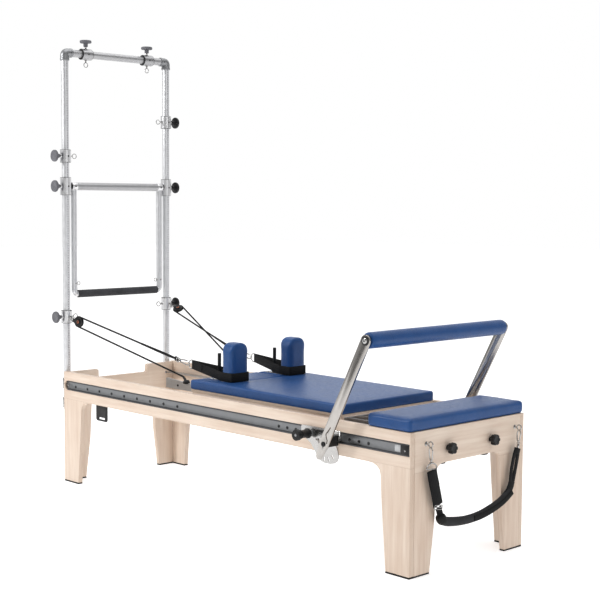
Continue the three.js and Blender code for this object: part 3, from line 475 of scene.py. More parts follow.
def frames(line, closed=False, up=None):
    """Two side vectors at each point, carried along without twist or held to an up vector."""
    side, result = None, []
    for i in range(len(line)):
        heading = (point_on(line, i + 1, closed) - point_on(line, i - 1, closed)).normalized()
        source = Vector(up) if up is not None else side or heading.orthogonal()
        side = (source - heading * source.dot(heading)).normalized()
        result.append((side, heading.cross(side)))
    return result


def swept(line, section, closed=False, up=None, scale=None):
    """A form swept along a line; section points are (side, other side) offsets in metres."""
    count, around = len(line), len(section)
    points, faces, uvs, lengths = [], [], [], [0.0]
    for i, (point, (side, other)) in enumerate(zip(line, frames(line, closed, up))):
        grow = scale(i / max(count - 1, 1)) if scale else 1.0
        points += [point + side * (a * grow) + other * (b * grow) for a, b in section]
        lengths.append(lengths[-1] + (line[(i + 1) % count] - point).length)
    for i in range(count if closed else count - 1):
        ring, following = i * around, (i + 1) % count * around
        v0, v1 = lengths[i], lengths[i + 1]
        for k in range(around):
            m = (k + 1) % around
            u0, u1 = k / around, (k + 1) / around
            faces.append((ring + k, ring + m, following + m, following + k))
            uvs.append([(u0, v0), (u1, v0), (u1, v1), (u0, v1)])
    if not closed:
        for start in (0, (count - 1) * around):
            faces.append(range(start, start + around))
            uvs.append([(0.0, 0.0)] * around)
    return Shape().add(points, faces, uvs)


def circle(radius, sides=16):
    return arc(radius, radius, 0, 360, sides)[:-1]


def wire(line, radius, sides=12, **ways):
    """A round wire, cord or tube along a line."""
    return swept(line, circle(radius, sides), **ways)


def strap_section(width, thickness):
    """Flat webbing section with rounded selvedges: width along the side vector."""
    half, radius = width / 2 - thickness / 2, thickness / 2
    return [(centre + x, y) for centre, start in ((half, -90), (-half, 90))
            for x, y in arc(radius, radius, start, start + 180, 3)]


def hoop(centre, axis, radius, thickness, sides=40, squash=1.0, spin=None):
    """A wire ring, round or drawn out along the spin vector."""
    matrix = facing(centre, axis, spin)
    line = [matrix @ Vector((*spot, 0.0)) for spot in arc(radius * squash, radius, 0, 360, sides)[:-1]]
    return wire(line, thickness, closed=True)


def gathered(bm):
    shape = Shape().add([v.co.copy() for v in bm.verts], [[v.index for v in f.verts] for f in bm.faces])
    bm.free()
    return shape


def soft_block(corner_a, corner_b, radius, steps=4):
    """A box with evenly rounded edges."""
    inner_a, inner_b = Vector(corner_a) + Vector([radius] * 3), Vector(corner_b) - Vector([radius] * 3)
    bm = bmesh.new()
    bmesh.ops.create_cube(bm, size=2.0)
    bmesh.ops.subdivide_edges(bm, edges=bm.edges, cuts=2 * steps - 1, use_grid_fill=True)
    spread = [math.tan(math.pi / 4 * k / steps) for k in range(steps + 1)]
    for vertex in bm.verts:
        warped = Vector([math.copysign(spread[round(abs(c) * steps)], c) for c in vertex.co])
        core = Vector([inner_b[i] if warped[i] > 0.001 else inner_a[i] if warped[i] < -0.001
                       else (inner_a[i] + inner_b[i]) / 2 for i in range(3)])
        vertex.co = core + warped.normalized() * radius
    return gathered(bm)


def plate(outline, origin, across, up, thickness):
    """A flat plate from an outline of (across, up) points, extruded along across x up."""
    across, up, count = Vector(across), Vector(up), len(outline)
    near = [Vector(origin) + across * a + up * b for a, b in outline]
    far = [point + across.cross(up) * thickness for point in near]
    rim = [(i, (i + 1) % count, (i + 1) % count + count, i + count) for i in range(count)]
    return Shape().add(near + far, [*rim, range(count), range(count, 2 * count)])


def softened(node, material, width=0.0012, segments=2, cut_at=None, cut_away=None):
    """The CAD node's own form with its sharp edges eased, less what lies beyond a cutting plane."""
    source = frame["nodes"][node]
    bm = bmesh.new()
    bm.from_mesh(source.data)
    bm.transform(source.matrix_world)
    bmesh.ops.remove_doubles(bm, verts=bm.verts, dist=1e-5)
    if cut_at is not None:
        geometry = bm.verts[:] + bm.edges[:] + bm.faces[:]
        bmesh.ops.bisect_plane(bm, geom=geometry, plane_co=cut_at, plane_no=cut_away, clear_outer=True)
        bmesh.ops.holes_fill(bm, edges=bm.edges, sides=0)
    bmesh.ops.dissolve_limit(bm, angle_limit=math.radians(1), verts=bm.verts, edges=bm.edges)
    sharp = [edge for edge in bm.edges if edge.is_manifold and edge.calc_face_angle(0.0) > math.radians(30)]
    bmesh.ops.bevel(bm, geom=sharp, offset=width, segments=segments, affect="EDGES", profile=0.5,
                    clamp_overlap=True)
    mesh = bpy.data.meshes.new(node + "_surface")
    bm.to_mesh(mesh)
    bm.free()
    return show(mesh, node + "_surface", material, body_of(node), (node,), 40.0)


# ---- small hardware -------------------------------------------------------------------------
def bolt(name, origin, direction, radius, height, body, material=CHROME):
    """A domed screw head with a hexagon socket."""
    dome = [(radius * wide, height * tall) for wide, tall in
            ((0.0, 0.0), (1.0, 0.0), (1.0, 0.35), (0.92, 0.7), (0.7, 0.95), (0.45, 1.0), (0.42, 0.98))]
    socket = [dome[-1], (radius * 0.4, height * 0.45), (0.0, height * 0.4)]
    head = turned(dome, origin, direction, 32)
    return head.join(turned(socket, origin, direction, 6)).piece(name, material, body)


def screw(name, origin, direction, body, material=BLACK_METAL):
    return bolt(name, origin, direction, 0.0042, 0.0018, body, material)


def block_across(sign, near_y, far_y, x, z, radius, steps=4):
    """A soft block between two distances from the middle plane, on one side of the bed."""
    y0, y1 = sorted((sign * near_y, sign * far_y))
    return soft_block((x[0], y0, z[0]), (x[1], y1, z[1]), radius, steps)


def snap_hook(name, start, end, body, width, thickness):
    """A spring snap hook: long wire loop, gate across one side and a small swivel eye at its far end."""
    start, run = Vector(start), Vector(end) - Vector(start)
    length = run.length
    along = run / length
    matrix = facing(start, Vector(ACROSS) - along * along.y, run)
    eye = 0.22 * length
    spots = [(eye, -width * 0.18), (eye * 1.6, -width * 0.42), (length * 0.8, -width * 0.55), (length, 0.0),
             (length * 0.82, width * 0.55), (length * 0.5, width * 0.35), (eye * 1.3, width * 0.3)]
    hook = wire(curve([matrix @ Vector((*spot, 0.0)) for spot in spots], closed=True), thickness, closed=True)
    hook.join(hoop(matrix @ Vector((eye * 0.45, 0, 0)), run, eye * 0.48, thickness * 0.8, 28))
    hook.join(rod(thickness * 1.7, 0.0, eye * 0.5, 0.0006, matrix @ Vector((eye * 0.75, 0, 0)), run, 20))
    return hook.piece(name, CHROME, body)


# ---- bed ------------------------------------------------------------------------------------
def build_bed():
    for side, sign in SIDES:
        softened(f"side_panel_{side}", MAPLE_SIDE, 0.0022, segments=3)
        softened(f"outer_track_{side}", TRACK, 0.0005)
        softened(f"inner_rail_{side}", RAIL, 0.0006)
        build_track_trim(side, sign)
        for end in ("head", "foot"):
            softened(f"foot_pad_{end}_{side}", RUBBER, 0.0012)
    softened("head_end_panel", MAPLE_END, 0.0022, segments=3)
    softened("foot_end_panel", MAPLE_END, 0.0022, 3, (BED_HIGH.x + 0.0001, 0, 0), FORWARD)
    softened("hanger_plate", BLACK_METAL, 0.0006)
    softened("spring_bar", BLACK_METAL, 0.001)
    build_end_screws()
    build_star_knobs()
    build_springs()


def build_track_trim(side, sign):
    """Screws, the black end block and the plain light patch of one outer track."""
    track_low, track_high = low(f"outer_track_{side}"), high(f"outer_track_{side}")
    height = (track_low.z + track_high.z) / 2
    out = (0, sign, 0)
    bolt(f"track_head_screw_{side}", (track_low.x + 0.022, sign * (FACE_Y - 0.0092), height), out,
         0.0055, 0.003, "bed")
    end = track_high.x
    block = block_across(sign, FACE_Y - 0.0009, FACE_Y + 0.0009, (end - 0.045, end - 0.001),
                         (height - 0.020, height + 0.020), 0.0008, 2)
    block.piece(f"track_end_block_{side}", BLACK_PLASTIC, "bed")
    bolt(f"track_end_screw_{side}", (end - 0.021, sign * (FACE_Y + 0.0008), height - 0.003), out,
         0.0042, 0.0022, "bed")
    patch = block_across(sign, FACE_Y - 0.0096, FACE_Y - 0.0084, (end - 0.083, end - 0.050),
                         (height - 0.014, height + 0.014), 0.0005, 2)
    patch.piece(f"track_patch_{side}", LABEL, "bed")
    # Black cups set in the track holes are painted shade, standing in for the dark inside of each hole.
    cup = [(0.0, 0.0), (0.0046, 0.0), (0.0046, 0.0026), (0.0070, 0.0028), (0.0070, 0.0033), (0.0044, 0.0033),
           (0.0040, 0.0006), (0.0, 0.0006)]
    shade_cups = Shape()
    fine = [2.1785 - 0.053 * i for i in range(11)]
    coarse = [0.9436 - 0.106 * i for i in range(9)]
    for x in fine + coarse:
        shade_cups.join(turned(cup, at(x, sign * (FACE_Y - 0.0116), 0.505), out, 24))
    shade_cups.piece(f"track_hole_liners_{side}", BLACK_PLASTIC, "bed")


def build_end_screws():
    """Bolt heads on the head panel, and the two screw eyes that the foot strap hangs in."""
    for side, sign in SIDES:
        for level, z in (("", 0.519), ("_low", 0.405)):
            bolt(f"head_bolt{level}_{side}", at(END_PANEL, sign * 0.289, z), FORWARD, 0.0075, 0.003, "bed")
    face = BED_HIGH.x
    for i, y in enumerate((-0.271, 0.300)):
        eye = hoop((face + 0.0242, y, 0.526), ACROSS, 0.0108, 0.0027)
        stem = solid([(0.0088, 0.0), (0.0088, 0.0012), (0.0034, 0.0022), (0.0032, 0.0145)],
                     (face, y, 0.526), FORWARD, 24)
        eye.join(stem).piece(f"screw_eye_{i}", CHROME, "bed")


def build_star_knobs():
    """Lobed black hand knobs with a metal insert."""
    face, count, size = BED_HIGH.x, 96, 0.0215
    for side, _ in SIDES:
        node = f"star_knob_{side}"
        x0, outer = low(node).x, high(node).x
        _, y, z = middle(node)
        rings = [(0.86, 0.0235), (0.97, 0.0215), (1.0, 0.018), (1.0, 0.006), (0.95, 0.002), (0.84, 0.0),
                 (0.5, 0.0006), (0.45, 0.002), (0.02, 0.002)]
        points = []
        for grow, back in rings:
            for i in range(count):
                turn = 2 * math.pi * i / count
                wave = size + 0.0026 * math.cos(6 * turn) - 0.0009 * math.cos(12 * turn)
                radius = (wave if grow > 0.6 else size) * grow
                points.append((outer - back, y + radius * math.cos(turn), z + radius * math.sin(turn)))
        faces = [(r + i, r + (i + 1) % count, r + count + (i + 1) % count, r + count + i)
                 for r in range(0, (len(rings) - 1) * count, count) for i in range(count)]
        faces += [tuple(range(count)), tuple(range((len(rings) - 1) * count, len(rings) * count))]
        neck = solid([(0.0115, 0.0003), (0.0115, 0.002), (0.0095, 0.004), (0.0095, 0.014)], (face, y, z),
                     FORWARD)
        head = Shape().add(points, faces).join(neck)
        head.piece(f"{node}_head", BLACK_PLASTIC, node, node)
        stem = rod(0.0049, x0, face + 0.001 - x0, 0.0005, (0, y, z), FORWARD, 24)
        stem.piece(f"{node}_stem", SPRING_STEEL, node)


def build_springs():
    """Five close-wound coil springs from the carriage anchor to the spring bar."""
    node = "spring_pack"
    x0, x1, height = low(node).x, high(node).x, middle(node).z
    radius, around, pitch = 0.0093, 8, 0.0052
    start, end = x0 + 0.022, x1 - 0.030
    strip = soft_block((x0 + 0.0003, -0.168, height - 0.012), (x0 + 0.009, 0.168, height + 0.012), 0.001)
    strip.piece("spring_anchor_strip", BLACK_METAL, "carriage", node)
    steps = int((end - start) / pitch) * around
    for i in range(5):
        y = -0.150 + 0.075 * i
        line = []
        for k in range(steps + 1):
            turn = 2 * math.pi * k / around
            x = start + (end - start) * k / steps
            line.append(Vector((x, y + radius * math.cos(turn), height + radius * math.sin(turn))))
        spring = wire(line, 0.0016, 6)
        for a, b in ((end, x1 - 0.001), (x0 + 0.008, start)):
            spring.join(wire([Vector((a, y, height)), Vector((b, y, height))], 0.0026, 10))
        piece = spring.piece(f"coil_spring_{i}", SPRING_STEEL, None, node)
        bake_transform(piece)


# ---- tower ----------------------------------------------------------------------------------
TUBE_RADIUS = 0.01925
COLLAR_RADIUS = 0.029
COLLAR_LIP = 0.0013
KNOB_REACH = 0.074
EYE_REACH = 0.068
TOWER_X = -0.023
BAR_Z = 2.230
ELBOW_REACH = 0.034
STEM_START = 0.0275
PIVOT_Z = 1.543
COLLAR_Z = {"eye_collar_near": 1.699, "eye_collar_far": 1.902, "pulley_collar_near": 0.862,
            "pulley_collar_far": 0.898}
SWING_Y = 0.2785
SWING_ARM_RADIUS = 0.0155
SWING_TOP_RADIUS = 0.0202
SWING_EYE_Z = 1.034
GRIP_Z = 0.979


def build_tower():
    for side, sign in SIDES:
        build_upright(side, sign)
        node = f"tower_bracket_{side}"
        softened(node, BRACKET_STEEL, 0.0009)
        for z in (0.409, 0.511):
            for offset in (-0.030, 0.030):
                place = "out" if offset * sign > 0 else "in"
                spot = at(TOWER_X + TUBE_RADIUS + 0.0003, sign * UPRIGHT_Y + offset, z)
                bolt(f"{node}_bolt_{round(z * 1000)}_{place}", spot, (-1, 0, 0), 0.0052, 0.0034, "bed",
                     BLACK_METAL)
        build_collar(f"eye_collar_{side}", sign, 0.066)
        build_collar(f"pulley_collar_{side}", sign, 0.066)
        build_collar(f"pivot_collar_{side}", sign, 0.091)
        build_pivot_pin(side, sign)
        build_top_collar(side, sign)
    build_top_bar()
    build_swing()


def build_upright(side, sign):
    node = f"upright_{side}"
    foot, bore = at(TOWER_X, sign * UPRIGHT_Y, 0), 0.0165
    start, end = low(node).z, high(node).z
    tube = turned([(bore, start), (TUBE_RADIUS - 0.0008, start), (TUBE_RADIUS, start + 0.0008),
                   (TUBE_RADIUS, end), (bore, end)], foot, UP, 56)
    tube.piece(f"{node}_tube", TUBE_SCALE, "bed", node)
    rod(0.0163, start - 0.0015, 0.012, 0.001, foot).piece(f"{node}_plug", BLACK_PLASTIC, "bed")


def build_top_bar():
    """Bar between two cast elbows that sit on the uprights."""
    reach = UPRIGHT_Y - 0.030
    bar = solid([(TUBE_RADIUS, -reach), (TUBE_RADIUS, reach)], at(TOWER_X, 0, BAR_Z), ACROSS, 56)
    bar.piece("top_bar_tube", TUBE_ACROSS, "bed", "top_bar")
    for side, sign in SIDES:
        corner = at(TOWER_X, sign * UPRIGHT_Y, BAR_Z)
        inward, down = Vector((0, -sign, 0)), Vector((0, 0, -1))
        line = [corner + inward * ELBOW_REACH, corner, corner + down * ELBOW_REACH]
        elbow = wire(cornered(line, 0.032, steps=14), 0.0226, 40)
        for way in (inward, down):
            elbow.join(rod(0.0238, -0.006, 0.0125, 0.0012, corner + way * ELBOW_REACH, way))
        elbow.piece(f"top_elbow_{side}", CAST_ALUMINIUM, "bed", "top_bar")
        bolt(f"top_elbow_screw_{side}", corner + inward * 0.026 + Vector((0.0222, 0, 0)), FORWARD,
             0.0032, 0.0014, "bed", BLACK_METAL)


def build_ring(node, material, body, length, origin, direction):
    """Turned sleeve with eased rims, a plastic bushing whose black flanges show at both ends, partly as
    painted shade where the collar meets the tube, and a screw.
    """
    half, bore, rim, eased = length / 2, TUBE_RADIUS + 0.0006, COLLAR_RADIUS - 0.0008, 0.0012
    lip, seat = half - COLLAR_LIP, TUBE_RADIUS + 0.0034
    sleeve = [(seat, -lip), (COLLAR_RADIUS - eased, -lip), (COLLAR_RADIUS, -lip + eased),
              (COLLAR_RADIUS, lip - eased), (COLLAR_RADIUS - eased, lip), (seat, lip)]
    # The black flanges left showing past the sleeve's ends are partly painted shade at the collar's joints
    # with the tube.
    bush_and_shade = [(bore, -half), (rim, -half), (rim, -lip), (seat, -lip), (seat, lip), (rim, lip), (rim, half),
            (bore, half), (bore, -half)]
    turned(sleeve, origin, direction, 56).piece(f"{node}_sleeve", material, body, node)
    turned(bush_and_shade, origin, direction, 56).piece(f"{node}_bush", BLACK_PLASTIC, body, node)
    screw(f"{node}_screw", origin + Vector((COLLAR_RADIUS * 0.985, 0, 0)), FORWARD, body)


def hand_knob(origin, outward, start):
    """Round knob with a milled rim on a threaded stem; start is where the stem leaves its collar."""
    back, front = KNOB_REACH - 0.016, KNOB_REACH
    neck = back - 0.018
    stem = solid([(0.0062, start), (0.0062, start + 0.005), (0.0046, start + 0.006), (0.0046, neck + 0.004)],
                 origin, outward, 24)
    head = solid([(0.0105, neck), (0.0115, neck + 0.002), (0.0115, back - 0.002), (0.016, back),
                  (0.0265, back + 0.001), (0.0295, back + 0.003), (0.0302, back + 0.006),
                  (0.0302, front - 0.005), (0.0285, front - 0.0015), (0.025, front), (0.015, front - 0.0006),
                  (0.0125, front - 0.0018)], origin, outward, 120, 20, 0.018)
    return stem, head


def eye_bolt(name, origin, inward, body):
    """Chrome eye on a short stem; its ring faces the foot end."""
    way, start, end = Vector(inward), STEM_START, EYE_REACH - 0.025
    stem = solid([(0.0068, start), (0.0068, start + 0.004), (0.0036, start + 0.006), (0.0036, end)],
                 origin, way, 24)
    ring = hoop(origin + way * (EYE_REACH - 0.014), FORWARD, 0.012, 0.0021)
    stem.join(ring).piece(name, CHROME, body)


def build_collar(node, sign, length):
    """Clamp collar of an upright: hand knob outside, and an eye inside unless the swing hangs there."""
    kind, side = node.rsplit("_", 1)
    body, outward = body_of(node), Vector((0, sign, 0))
    origin = at(TOWER_X, sign * UPRIGHT_Y, COLLAR_Z.get(node, PIVOT_Z))
    build_ring(node, COLLAR, body, length, origin, UP)
    owner, start = (f"pivot_knob_{side}", 0.0235) if kind == "pivot_collar" else (node, STEM_START)
    stem, head = hand_knob(origin, outward, start)
    stem.piece(f"{owner}_stem", CHROME, body_of(owner), owner)
    head.piece(f"{owner}_head", KNOB_GREY if sign < 0 else BLACK_PLASTIC, body_of(owner), owner)
    boss = turned([(0.0, 0.020), (0.0095, 0.020), (0.0095, 0.0325), (0.0085, 0.0335), (0.0064, 0.0335),
                   (0.0064, 0.020)], origin, outward, 32)
    boss.piece(f"{node}_boss", COLLAR, body)
    if kind != "pivot_collar":
        eye_bolt(f"{node}_eye", origin, -outward, body)


def build_top_collar(side, sign):
    node = f"top_collar_{side}"
    origin = at(TOWER_X, sign * 0.198, BAR_Z)
    build_ring(node, SHADED_TOP_COLLAR, node, 0.062, origin, ACROSS)
    stem, head = hand_knob(origin, UP, STEM_START)
    stem.piece(f"{node}_stem", CHROME, node)
    head.piece(f"{node}_head", KNOB_GREY, node)
    eye_bolt(f"{node}_eye", origin, (0, 0, -1), node)


def build_pivot_pin(side, sign):
    """Black washer on the pivot that the swing hangs on."""
    washer = solid([(0.0185, 0.026), (0.0192, 0.027), (0.0192, 0.0300), (0.0185, 0.0309)],
                   at(TOWER_X, sign * UPRIGHT_Y, PIVOT_Z), (0, -sign, 0))
    washer.piece(f"pivot_washer_{side}", BLACK_PLASTIC, "swing_carrier")


def build_swing():
    """Push-through bar: one bent tube with hubs on its pivots, eyes near the grip and a foam grip."""
    top = SWING_Y - 0.012
    line = [at(TOWER_X, -top, PIVOT_Z), at(TOWER_X, top, PIVOT_Z)]
    wire(line, SWING_TOP_RADIUS, 40).piece("swing_top_tube", SWING_ACROSS, "swing", "swing_frame")
    for side, sign in SIDES:
        y = sign * SWING_Y
        out, hub_origin = (0, sign, 0), at(TOWER_X, y, PIVOT_Z)
        arm = [at(TOWER_X, y, PIVOT_Z - 0.012), at(TOWER_X, y, GRIP_Z), at(TOWER_X, y - sign * 0.045, GRIP_Z)]
        tube = wire(cornered(arm, 0.020, steps=12), SWING_ARM_RADIUS, 36)
        tube.piece(f"swing_arm_{side}", TUBE, "swing", "swing_frame")
        hub = rod(0.0218, -0.0165, 0.033, 0.002, hub_origin, out, 56)
        hub.piece(f"swing_hub_{side}", COLLAR, "swing", "swing_frame")
        band = rod(0.0196, -0.0225, 0.007, 0.001, hub_origin, out, 56)
        band.piece(f"swing_band_{side}", BLACK_PLASTIC, "swing")
        bolt(f"swing_hub_screw_{side}", hub_origin + Vector((0.0212, 0, 0)), FORWARD, 0.0042, 0.002, "swing",
             BLACK_METAL)
        eye = hoop(at(TOWER_X, sign * (SWING_Y - 0.0265), SWING_EYE_Z), FORWARD, 0.0088, 0.0018)
        eye.join(rod(0.0034, 0.014, 0.0055, 0.0005, at(TOWER_X, y, SWING_EYE_Z), (0, -sign, 0), 20))
        eye.piece(f"swing_eye_{side}", CHROME, "swing")
        bolt(f"swing_arm_screw_{side}", at(TOWER_X + 0.0152, y, SWING_EYE_Z), FORWARD, 0.0045, 0.002, "swing")
    half = high("swing_grip").y
    rim = [(0.013, -half), (0.0185, -half), (0.0196, -half + 0.0012), (0.01985, -half + 0.004)]
    grip = turned(rim + mirrored(rim), at(TOWER_X, 0, GRIP_Z), ACROSS, 56)
    grip.piece("swing_grip_foam", GRIP_FOAM, "swing", "swing_grip")


# ---- footbar --------------------------------------------------------------------------------
FOOTBAR_PIVOT = at(2.008, 0, 0.489)
FOOTBAR_LEAN = math.radians(27.4)
FOOTBAR_LENGTH = 0.496
ARM_INNER, ARM_OUTER = 0.432, 0.440
BRACKET_OUTER = 0.3663


def build_footbar():
    along = Vector((math.sin(FOOTBAR_LEAN), 0, math.cos(FOOTBAR_LEAN)))
    crown = FOOTBAR_PIVOT + along * FOOTBAR_LENGTH
    softened("footbar_frame", STAINLESS, 0.0008)
    build_footbar_pad(crown)
    for side, sign in SIDES:
        out = (0, sign, 0)
        softened(f"footbar_bracket_{side}", BRACKET_STEEL, 0.0005, 2, (0, sign * BRACKET_OUTER, 0), out)
        build_footbar_pivot(side, sign)
        end = crown + Vector((0, sign * ARM_OUTER, 0))
        ring = turned([(0.0105, 0.0), (0.0185, 0.0), (0.0195, 0.001), (0.0195, 0.0022), (0.0175, 0.003),
                       (0.0105, 0.003)], end, out)
        ring.piece(f"footbar_end_ring_{side}", BLACK_PLASTIC, "footbar")
        bolt(f"footbar_end_bolt_{side}", end + Vector((0, sign * 0.0008, 0)), out, 0.0125, 0.0052, "footbar")
        build_lock_knob(side, sign)


def build_footbar_pivot(side, sign):
    """Black block that carries the arm clear of the side plate, its black partly painted shade for the shadow
    behind the arm, and the bolt that the arm turns on.
    """
    out = (0, sign, 0)
    block = block_across(sign, BRACKET_OUTER + 0.0002, ARM_INNER - 0.0006, (HEAD_X + 1.982, HEAD_X + 2.016),
                         (0.473, 0.516), 0.003)
    block.piece(f"footbar_pivot_block_{side}", BLACK_METAL, "footbar_slider")
    head = solid([(0.0058, ARM_INNER - 0.002), (0.0058, ARM_OUTER), (0.0105, ARM_OUTER + 0.0002),
                  (0.0105, ARM_OUTER + 0.0028), (0.0092, ARM_OUTER + 0.0042), (0.0055, ARM_OUTER + 0.0047),
                  (0.0050, ARM_OUTER + 0.0030)], FOOTBAR_PIVOT, out, 40)
    head.piece(f"footbar_pivot_bolt_{side}", BLACK_METAL, "footbar_slider")
    for x, z in ((1.922, 0.518), (1.968, 0.508)):
        screw(f"footbar_bracket_bolt_{side}_{round(x * 1000)}", at(x, sign * (BRACKET_OUTER - 0.0003), z),
              out, "footbar_slider")


def build_footbar_pad(crown):
    """Foam roll in vinyl: full in the middle, drawn in by the stitched seams of its end caps."""
    half, radius, steps = high("footbar_pad").y, 0.0325, 26
    cap = [(0.0145, -half), (0.024, -half), (0.0285, -half + 0.0012), (0.0312, -half + 0.0042),
           (0.0308, -half + 0.0052), (0.0318, -half + 0.0065)]
    roll = []
    for t in (i / steps for i in range(steps + 1)):
        swelling = 0.0005 * math.sin(math.pi * t) + 0.00022 * math.sin(9.0 * t)
        roll.append((radius + swelling, -half + 0.010 + t * (2 * half - 0.020)))
    pad = turned(cap + roll + mirrored(cap), crown, ACROSS, 64)
    pad.piece("footbar_pad_roll", VINYL, "footbar", "footbar_pad", crease=50)
    seam = [crown + Vector((-0.0225, y, -0.0238)) for y in (-half + 0.008, half - 0.008)]
    wire(seam, 0.0009, 8).piece("footbar_pad_seam", VINYL, "footbar")


def build_lock_knob(side, sign):
    """Ribbed pull knob on a collar; its plunger enters the holes of the track."""
    node = f"lock_knob_{side}"
    placing = at(1.8605, 0, 0.507), (0, sign, 0)
    neck = solid([(0.0148, 0.3666), (0.0148, 0.3700), (0.0135, 0.3710), (0.0135, 0.3815)], *placing, 6)
    pin = rod(0.0048, 0.3546, 0.014, 0.0006, *placing, 24)
    neck.join(pin).piece(f"{node}_plunger", CAST, node, node)
    ribs = [(0.0185, 0.3822), (0.0215, 0.3840), (0.0215, 0.3905), (0.0180, 0.3920), (0.0168, 0.4040),
            (0.0168, 0.4240), (0.0185, 0.4270), (0.0185, 0.4290), (0.0172, 0.4298), (0.0172, 0.4318),
            (0.0188, 0.4326), (0.0188, 0.4346), (0.0175, 0.4354), (0.0175, 0.4374), (0.0215, 0.4392),
            (0.0232, 0.4410), (0.0232, 0.4545), (0.0222, 0.4565), (0.0195, 0.4572), (0.0185, 0.4560),
            (0.0150, 0.4560), (0.0140, 0.4570), (0.0105, 0.4570), (0.0095, 0.4556)]
    solid(ribs, *placing, 64, 16, 0.014).piece(f"{node}_grip", BLACK_PLASTIC, node, node)
    rod(0.0062, 0.4550, 0.0016, 0.0004, *placing, 32).piece(f"{node}_cap", SPRING_STEEL, node)


# ---- cushions -------------------------------------------------------------------------------
def grid_lines(breaks, step, rim):
    """Grid lines through the break points, close together inside the rolled rims."""
    lines = []
    for a, b in zip(breaks, breaks[1:]):
        count = max(1, round((b - a - 2 * rim) / step))
        inner = [a + rim + (b - a - 2 * rim) * i / count for i in range(count + 1)]
        lines += [a, a + 0.34 * rim, a + 0.68 * rim, *inner, b - 0.68 * rim, b - 0.34 * rim]
    return lines + [breaks[-1]]


def nearest(point, cores):
    """Nearest point of the core: boxes, each with a round bulge in the upright plane across the bed."""
    best = None
    for (lower, upper), bulge in cores:
        spot = Vector([min(max(point[i], lower[i]), upper[i]) for i in range(3)])
        away = Vector((0, point.y - spot.y, point.z - spot.z))
        if bulge and away.length > 1e-9:
            spot += away.normalized() * min(bulge, away.length)
        if best is None or (point - spot).length < (point - best).length:
            best = spot
    return best


def shell(xs, ys, zs, inside):
    """Points and outward faces of the grid cells whose middle is inside."""
    size = (len(xs) - 1, len(ys) - 1, len(zs) - 1)
    index, faces = {}, []

    def full(cell):
        i, j, k = cell
        return (0 <= i < size[0] and 0 <= j < size[1] and 0 <= k < size[2]
                and inside((xs[i] + xs[i + 1]) / 2, (ys[j] + ys[j + 1]) / 2))

    def close(cell, axis, far_side):
        u, v = [other for other in range(3) if other != axis]
        loop = []
        for a, b in ((0, 0), (1, 0), (1, 1), (0, 1)):
            corner = list(cell)
            corner[axis] += far_side
            corner[u] += a
            corner[v] += b
            loop.append(index.setdefault(tuple(corner), len(index)))
        faces.append(loop)

    for cell in itertools.product(*(range(count) for count in size)):
        if not full(cell):
            continue
        for axis, far_side in itertools.product(range(3), (0, 1)):
            beside = list(cell)
            beside[axis] += 2 * far_side - 1
            if not full(beside):
                close(cell, axis, far_side)
    return [Vector((xs[i], ys[j], zs[k])) for i, j, k in index], faces


def cushion(name, breaks, inside, cores, roll, body, node, crown=0.0, cap=0.003, step=0.014):
    """A closed cushion: grid shell, rims rolled round its core, then swollen by pressure inside its cover."""
    xs, ys, zs = (grid_lines(axis, step, roll) for axis in breaks)
    points, faces = shell(xs, ys, zs, inside)
    shaped = []
    for point in points:
        core = nearest(point, cores)
        away = point - core
        spot = core + away.normalized() * min(roll, away.length) if away.length > 1e-9 else point
        if point.z == zs[-1] and away.xy.length < 1e-6:
            edge = min(abs(point.x - xs[0]), abs(point.x - xs[-1]), abs(point.y - ys[0]),
                       abs(point.y - ys[-1]))
            spot.z += crown * min(1.0, edge / 0.09) ** 0.6
        shaped.append(spot)
    piece = Shape().add(shaped, faces).piece(name, VINYL, None, node, crease=180)
    swell(piece, zs[0] + 0.004, cap)
    smooth = piece.modifiers.new("smooth", "SUBSURF")
    smooth.levels = smooth.render_levels = 1
    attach(piece, body)


def swell(piece, resting_below, cap):
    """Air pressure inside the cover, its underside held still, each point kept within the cap."""
    scene = bpy.context.scene
    rest = [vertex.co.copy() for vertex in piece.data.vertices]
    held = piece.vertex_groups.new(name="held")
    held.add([i for i, co in enumerate(rest) if co.z < resting_below], 1.0, "REPLACE")
    cloth = piece.modifiers.new("swell", "CLOTH")
    cloth.settings.quality = 4
    cloth.settings.use_pressure = True
    cloth.settings.uniform_pressure_force = 4.0
    cloth.settings.effector_weights.gravity = 0.0
    cloth.settings.vertex_group_mass = held.name
    cloth.collision_settings.use_collision = False
    for number in range(1, 21):
        scene.frame_set(number)
    evaluated = piece.evaluated_get(bpy.context.evaluated_depsgraph_get())
    swollen = [vertex.co.copy() for vertex in evaluated.data.vertices]
    piece.modifiers.remove(cloth)
    piece.vertex_groups.clear()
    for vertex, start, end in zip(piece.data.vertices, rest, swollen):
        move = end - start
        vertex.co = start + move * min(1.0, cap / max(move.length, 1e-9))
    scene.frame_set(1)


def slab(name, node, body, roll, crown, cap):
    """A flat rectangular cushion in the space of its CAD node."""
    a, b = low(node), high(node)
    inset = Vector([roll] * 3)
    breaks = ([a.x, b.x], [a.y, b.y], [a.z, b.z])
    cushion(name, breaks, lambda x, y: True, [((a + inset, b - inset), 0.0)], roll, body, node, crown, cap)


def build_cushions():
    slab("platform_cushion", "foot_platform_pad", "bed", 0.015, 0.0015, 0.003)
    slab("headrest_cushion", "headrest", "headrest", 0.010, 0.001, 0.0018)
    build_carriage_cushion()
    for side, _ in SIDES:
        build_shoulder_rest(side)


